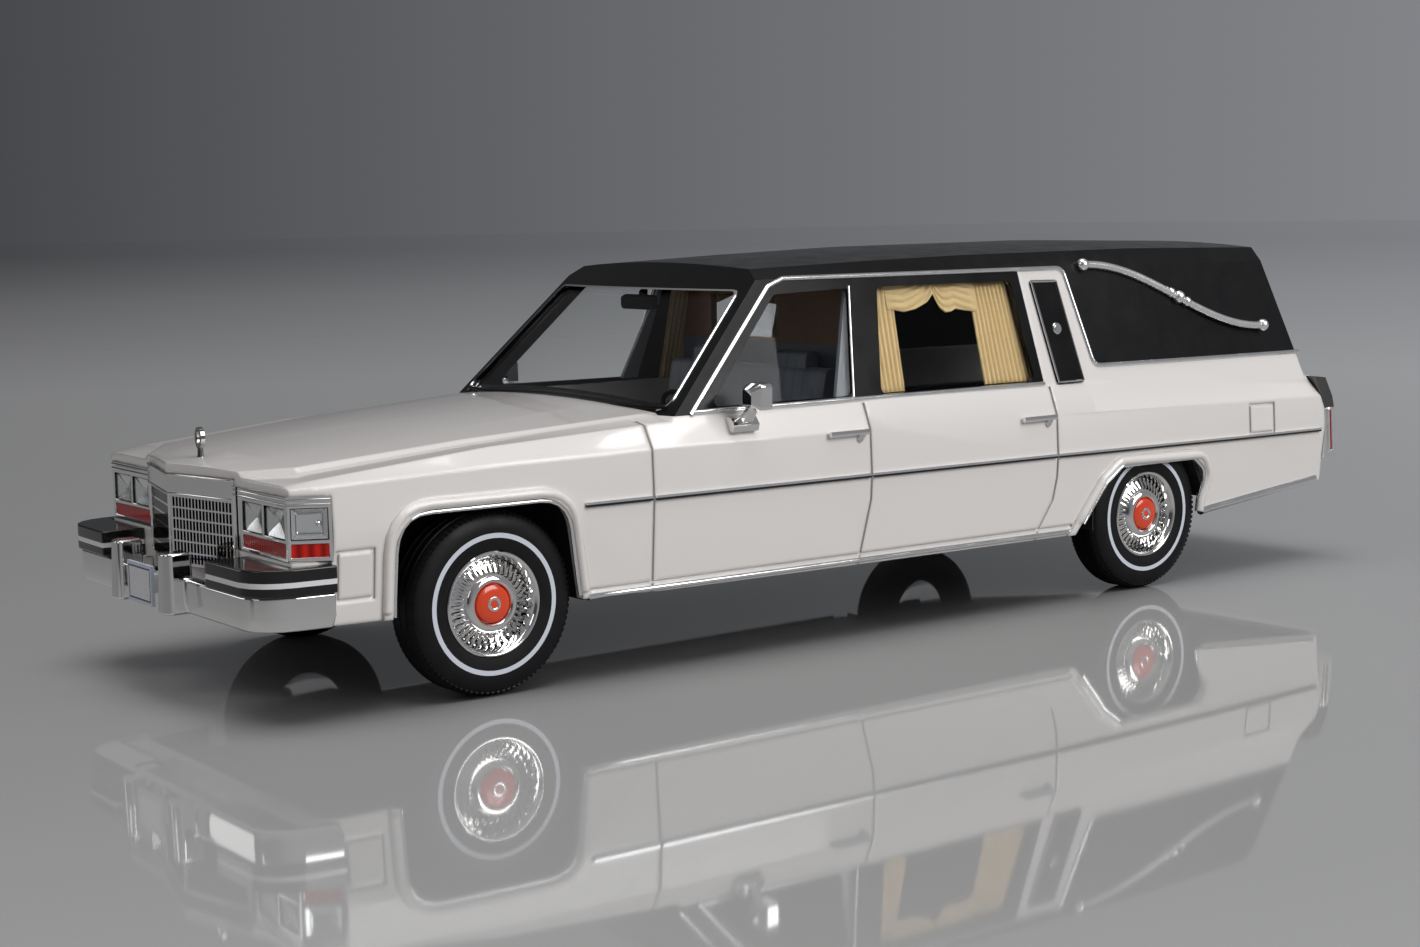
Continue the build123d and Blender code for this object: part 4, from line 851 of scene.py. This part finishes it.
def fillArchEdges(bm):
    for end in ("front", "rear"):
        points, corner, middle = archEdges[end]
        path = roundedPath(points, corner, step=archLips["step"])
        spots = []
        for point in path:
            probe = point + (point - Vector(middle)).normalized() * archEdges["probe"]
            spots.append((outsideX(probe.x, max(probe.y, archLips["lowest"])) - archEdges["sunk"], *point))
        addTubes(bm, bothSides(spots), archEdges["radius"])
    for first, last, radius in archEdges["sills"]:
        path = roundedPath((first, last), 0, step=archEdges["sillStep"])
        sunk = radius * archEdges["sillSunk"]
        addTubes(bm, bothSides([(outsideX(y, z + archEdges["sillProbe"]) - sunk, y, z) for y, z in path]), radius)


build("archEdges", fillArchEdges, silverFoil, ("lower_trims",), angle=60)

# baseplate with its ends lifted clear of the sills
plateEnds = {"front": -57.9, "rear": 47.9, "low": 8.9, "lift": 9.4}


def fillPlate(bm):
    bm.from_mesh(nodes["baseplate"].data)
    for vert in bm.verts:
        y, z = vert.co.y / mm, vert.co.z / mm
        if z < plateEnds["low"] and not plateEnds["front"] < y < plateEnds["rear"]:
            vert.co.z = plateEnds["lift"] * mm
    bmesh.ops.remove_doubles(bm, verts=bm.verts, dist=weld)
    bmesh.ops.dissolve_degenerate(bm, dist=weld, edges=bm.edges)


build("castBase", fillPlate, baseCasting, ("baseplate",), angle=30)

# black liners over the rear wheels
liner = {"inner": 9.0, "outer": 9.14, "from": 15.2, "to": 20.78, "first": 10, "last": 186, "steps": 44}


def fillLiners(bm):
    near, far, inner, outer = (liner[key] for key in ("from", "to", "inner", "outer"))
    section = [(near, inner), (far, inner), (far, outer), (near, outer)]
    for side in (1, -1):
        rows = []
        for step in range(liner["steps"] + 1):
            turn = math.radians(liner["first"] + (liner["last"] - liner["first"]) * step / liner["steps"])
            rows.append([bm.verts.new(axleSpot(side * x, gear["rear_axle"], radius, turn)) for x, radius in section])
        faces = [bm.faces.new(rows[0]), bm.faces.new(rows[-1])] + bridge(bm, rows, len(section))
        bmesh.ops.recalc_face_normals(bm, faces=faces)


build("archLiners", fillLiners, baseCasting)
print("wheel arches done")

# underside: exhaust pipe with its silencer, and ribs across the baseplate
under = {
    "pipe": [(-7.5, -28.0, 7.5), (-7.5, -12.0, 7.3), (-9.0, 4.0, 7.3), (-9.0, 26.0, 7.4)], "pipeR": 0.55,
    "silencer": [(-8.2, -6.0, 7.3), (-8.9, 3.0, 7.3)], "silencerR": 1.1,
    "crossY": (-26.0, -9.0, 9.0, 26.0), "crossX": 13.0, "crossZ": 7.55, "crossR": 0.3,
}


def fillUnder(bm):
    addTubes(bm, [under["pipe"]], under["pipeR"], rounded=4)
    addTubes(bm, [under["silencer"]], under["silencerR"], rounded=5)
    ribs = [[(x, y, under["crossZ"]) for x in (-under["crossX"], under["crossX"])] for y in under["crossY"]]
    addTubes(bm, ribs, under["crossR"])


build("underPipes", fillUnder, pipeSteel, angle=45)

# mirror glass on the rear of each door mirror
mirrorFace = {"centre": (22.65, 25.35), "size": (2.06, 2.16), "corner": 0.35, "at": -18.2, "depths": (0.05, -0.1)}


def fillMirrorFaces(bm):
    (cx, cz), (wide, high) = mirrorFace["centre"], mirrorFace["size"]
    corners = [(cx + a * wide / 2, cz + b * high / 2) for a, b in square]
    outline = roundedPath(corners, mirrorFace["corner"], closed=True, step=5)
    faces = [[(x, mirrorFace["at"] + deep, z) for x, z in outline] for deep in mirrorFace["depths"]]
    for front, back in zip(*(bothSides(face) for face in faces)):
        addPlate(bm, front, back)


build("mirrorFaces", fillMirrorFaces, mirrorGlass)

# bright bead round each black side panel, and a plain boss on it
panelBead = {
    "outline": [(22.95, 34.85), (26.75, 34.8), (28.2, 24.05), (24.35, 24.05)], "bead": 0.11, "proud": 0.3, "parts": 8,
    "boss": (25.6, 29.75), "bossProud": 0.28, "lean": 75, "steps": [(0.72, 0.16), (0.48, 0.3)], "taper": 0.8,
}


def fillPanelBeads(bm):
    corners, parts = [Vector(corner) for corner in panelBead["outline"]], panelBead["parts"]
    path = [a.lerp(b, step / parts) for a, b in zip(corners, corners[1:] + corners[:1]) for step in range(parts)]
    addTubes(bm, bothSides([(sideX(y, z, -panelBead["proud"]), y, z) for y, z in path]), panelBead["bead"], closed=True)
    y, z = panelBead["boss"]
    for side in (1, -1):
        lean = Matrix.Rotation(math.radians(side * panelBead["lean"]), 4, "Y")
        at = Matrix.Translation(Vector((side * sideX(y, z, -panelBead["bossProud"]), y, z)) * mm) @ lean
        for radius, high in panelBead["steps"]:
            bmesh.ops.create_cone(bm, cap_ends=True, segments=24, radius1=radius * mm, matrix=at,
                                  radius2=radius * panelBead["taper"] * mm, depth=high * mm)


build("panelBeads", fillPanelBeads, chrome)

# lamps: a faceted bright bowl behind a clear pane
lampSizes = {
    "front": [(10.35, 14.1, 15.95, 18.55), (14.6, 18.5, 15.95, 18.55)], "corner": (-1.6, 1.55, 15.95, 18.65),
    "cornerAt": (19.825, -64.8), "cornerAlong": (1.65, 3.4), "frontY": -66.5, "gasket": 0.09, "gasketDeep": 0.1,
    "flat": 0.62, "point": 0.06, "rimDeep": 0.2, "bowlDeep": 0.53, "backDeep": 0.545,
    "inset": {"wide": 0.7, "high": 0.6, "deep": 0.42, "radius": 0.09},
    "bulb": {"along": 0.47619, "deep": 0.45, "radius": 0.27}, "layers": [(0.1, 0.1), (0.17, 0.06)], "steps": 10,
}


def lampFaces():
    along = Vector((*lampSizes["cornerAlong"], 0)).normalized()
    out = Vector((along.y, -along.x, 0))
    for row in lampSizes["front"]:
        yield Vector((0, lampSizes["frontY"], 0)), Vector((1, 0, 0)), Vector((0, -1, 0)), row
    yield Vector((*lampSizes["cornerAt"], 0)), along, out, lampSizes["corner"]


# in these, spot gives the place of a share across, a share up and a depth behind a lamp's face
def addBowl(bm, spot, share):
    rings = [(1, lampSizes["rimDeep"]), (share, lampSizes["bowlDeep"]), (1, lampSizes["backDeep"])]
    outer, inner, back = ([bm.verts.new(spot(s * k, t * k, deep)) for s, t in square] for k, deep in rings)
    bridge(bm, [inner, outer, back], 4)
    bm.faces.new(inner)
    bm.faces.new(back)


def addCornerParts(bm, spot):
    inset, bulb = lampSizes["inset"], lampSizes["bulb"]
    path = [spot(s * inset["wide"], t * inset["high"], inset["deep"]) / mm for s, t in square]
    addTubes(bm, [path], inset["radius"], closed=True)
    at = Matrix.Translation(spot(bulb["along"], 0, bulb["deep"]))
    bmesh.ops.create_uvsphere(bm, u_segments=16, v_segments=10, radius=bulb["radius"] * mm, matrix=at)


def addPane(bm, spot):
    steps = lampSizes["steps"]
    places = [2 * i / steps - 1 for i in range(steps + 1)]
    front, rear = layers = [
        [[bm.verts.new(spot(s, t, deep - bulge * (1 - s**4) * (1 - t**4))) for s in places] for t in places]
        for deep, bulge in lampSizes["layers"]
    ]
    for i in range(steps):
        for j in range(steps):
            for face in layers:
                bm.faces.new((face[j][i], face[j][i + 1], face[j + 1][i + 1], face[j + 1][i]))
        for j in (0, steps):
            bm.faces.new((front[j][i], rear[j][i], rear[j][i + 1], front[j][i + 1]))
            bm.faces.new((front[i][j], front[i + 1][j], rear[i + 1][j], rear[i][j]))


def makeLamps():
    bowls, panes = bmesh.new(), bmesh.new()
    gaskets = []
    for centre, along, out, (u0, u1, z0, z1) in lampFaces():
        isCorner = u0 < 0
        for side in (1, -1):
            def spot(s, t, deep):
                at = centre + along * (u0 + u1 + s * (u1 - u0)) / 2 - out * deep
                return Vector((side * at.x, at.y, (z0 + z1 + t * (z1 - z0)) / 2)) * mm

            gaskets.append([spot(s, t, lampSizes["gasketDeep"]) / mm for s, t in square])
            addBowl(bowls, spot, lampSizes["flat" if isCorner else "point"])
            if isCorner:
                addCornerParts(bowls, spot)
            addPane(panes, spot)
    for bm in (bowls, panes):
        bmesh.ops.recalc_face_normals(bm, faces=bm.faces)
    return meshFrom(bowls, angle=10), meshFrom(panes, angle=40), tubeMesh(gaskets, lampSizes["gasket"], closed=True)


bowlMesh, paneMesh, gasketMesh = makeLamps()
dress("lampGaskets", gasketMesh, blackTrim)
dress("lampBowls", bowlMesh, lampSilver)
dress("lampPanes", paneMesh, lampGlass, ("headlamp_lenses",))

# bright ribs over the lamps, and rails round the grille
frontRails = {
    "brow": [(9.6, -66.5), (18.95, -66.5), (20.6, -63.2)], "browZ": (18.95, 19.36), "browR": 0.12,
    "header": [(9.2, -66.86), (0, -68.96), (-9.2, -66.86)], "headerZ": (18.5, 20.2), "headerR": 0.13,
    "upright": [(9.12, -66.72, 0.13), (-9.12, -66.72, 0.13), (0, -68.8, 0.16)], "uprightZ": (12.1, 18.5),
}


def fillRails(bm):
    for z in frontRails["browZ"]:
        addTubes(bm, bothSides([(x, y, z) for x, y in frontRails["brow"]]), frontRails["browR"])
    for z in frontRails["headerZ"]:
        addTubes(bm, [[(x, y, z) for x, y in frontRails["header"]]], frontRails["headerR"])
    for x, y, radius in frontRails["upright"]:
        addTubes(bm, [[(x, y, z) for z in frontRails["uprightZ"]]], radius)


build("frontRails", fillRails, chrome, angle=50)
print("lamps and grille rails done")

# pale floor, painted darker close to the model as a painted shadow round it, that fades to the tone of the backdrop
floorTones = {
    "reach": 4.0, "near": (0.62, 0.618, 0.612), "middle": (0.93, 0.927, 0.92), "far": (0.1, 0.1, 0.104),
    "rise": (0.1, 0.35), "fade": (1.0, 2.6), "grain": 30, "rough": (0.03, 0.045),
}


def makeFloor():
    mesh = bpy.data.meshes.new("paleFloor")
    reach = floorTones["reach"]
    mesh.from_pydata([(a * reach, b * reach, 0) for a, b in square], [], [(0, 1, 2, 3)])
    floor = newObject("paleFloor", mesh)
    mat, tree = newMaterial("floorFinish")
    far = feed(tree, "ShaderNodeVectorMath", {0: objectCoords(tree)}, "Value", operation="LENGTH")
    rise, fade = (rangeOf(tree, far, 0.0, 1.0, *floorTones[key]) for key in ("rise", "fade"))
    # painted shadow: darker near the model, rising to the pale middle
    tone = mixColour(tree, rise, floorTones["near"], floorTones["middle"])
    tone = mixColour(tree, fade, tone, floorTones["far"])
    mesh.materials.append(paint(mat, tone, floorTones["rough"], floorTones["grain"]))
    return floor


floor = makeFloor()

# soft studio light
lampTable = {
    "overhead": {"at": (0.1, -0.1, 1.4), "to": (0, 0, 0.02), "size": 1.0, "power": 8.0, "onFloor": True},
    "side": {"at": (0.7, 0.28, 0.5), "to": (0, 0.04, 0.02), "size": 0.56, "power": 5.8, "onFloor": False},
    "nose": {"at": (0.1, -0.75, 0.4), "to": (0, 0, 0.02), "size": 0.3, "power": 0.5, "onFloor": False},
    "card": {"at": (-0.62, -0.5, 0.2), "to": (0, -0.05, 0.02), "size": 0.24, "power": 0.3, "onFloor": False},
}
# the lower lamps leave the floor out, so that it doesn't mirror them
modelOnly = bpy.data.collections.new("modelOnly")
modelOnly.objects.link(floor)
modelOnly.collection_objects[0].light_linking.link_state = "EXCLUDE"
for name, lamp in lampTable.items():
    data = bpy.data.lights.new(name, "AREA")
    data.size = lamp["size"]
    data.energy = lamp["power"]
    obj = newObject(name, data)
    obj.location = lamp["at"]
    obj.rotation_euler = (Vector(lamp["to"]) - Vector(lamp["at"])).to_track_quat("-Z", "Y").to_euler()
    if not lamp["onFloor"]:
        obj.light_linking.receiver_collection = modelOnly

# grey backdrop, darker to the left of the shot and paler overhead
backdrop = {
    "left": (0.05, 0.051, 0.055), "right": (0.235, 0.243, 0.258), "overhead": (0.24, 0.24, 0.245),
    "across": (0.599, 0.80, 0.0), "span": (-0.36, 0.36), "rise": (0.25, 0.9), "strength": 1.0,
}


def makeBackdrop():
    world = bpy.data.worlds.new("studio")
    scene.world = world
    world.use_nodes = True
    tree = world.node_tree
    sky = feed(tree, "ShaderNodeTexCoord", {}, "Generated")
    turn = feed(tree, "ShaderNodeVectorMath", {0: sky, 1: backdrop["across"]}, "Value", operation="DOT_PRODUCT")
    across = rangeOf(tree, turn, 0.0, 1.0, *backdrop["span"])
    level = mixColour(tree, across, backdrop["left"], backdrop["right"])
    rise = rangeOf(tree, axesOf(tree, sky)[2], 0.0, 1.0, *backdrop["rise"])
    colour = mixColour(tree, rise, level, backdrop["overhead"])
    setInputs(tree, tree.nodes["Background"], {"Color": colour, "Strength": backdrop["strength"]})


makeBackdrop()

# camera at the photograph's place
shot = {
    "azimuth": 53.176, "elevation": 6.841, "roll": -0.872, "at": (0.185849, -0.146987, 0.042933),
    "lens": 55.447, "sensor": 36, "clip": 0.01,
}


def makeCamera():
    data = bpy.data.cameras.new("shot")
    data.sensor_fit = "HORIZONTAL"
    data.sensor_width = shot["sensor"]
    data.lens = shot["lens"]
    data.clip_start = shot["clip"]
    azimuth, elevation, roll = (math.radians(shot[key]) for key in ("azimuth", "elevation", "roll"))
    level = math.cos(elevation)
    back = Vector((math.sin(azimuth) * level, -math.cos(azimuth) * level, math.sin(elevation)))
    right = Vector((0, 0, 1)).cross(back).normalized()
    up = back.cross(right)
    turnedRight = right * math.cos(roll) + up * math.sin(roll)
    camera = newObject("shot", data)
    camera.matrix_world = Matrix((turnedRight, back.cross(turnedRight), back)).transposed().to_4x4()
    camera.location = shot["at"]
    scene.camera = camera


makeCamera()
print("floor, lamps and camera set")
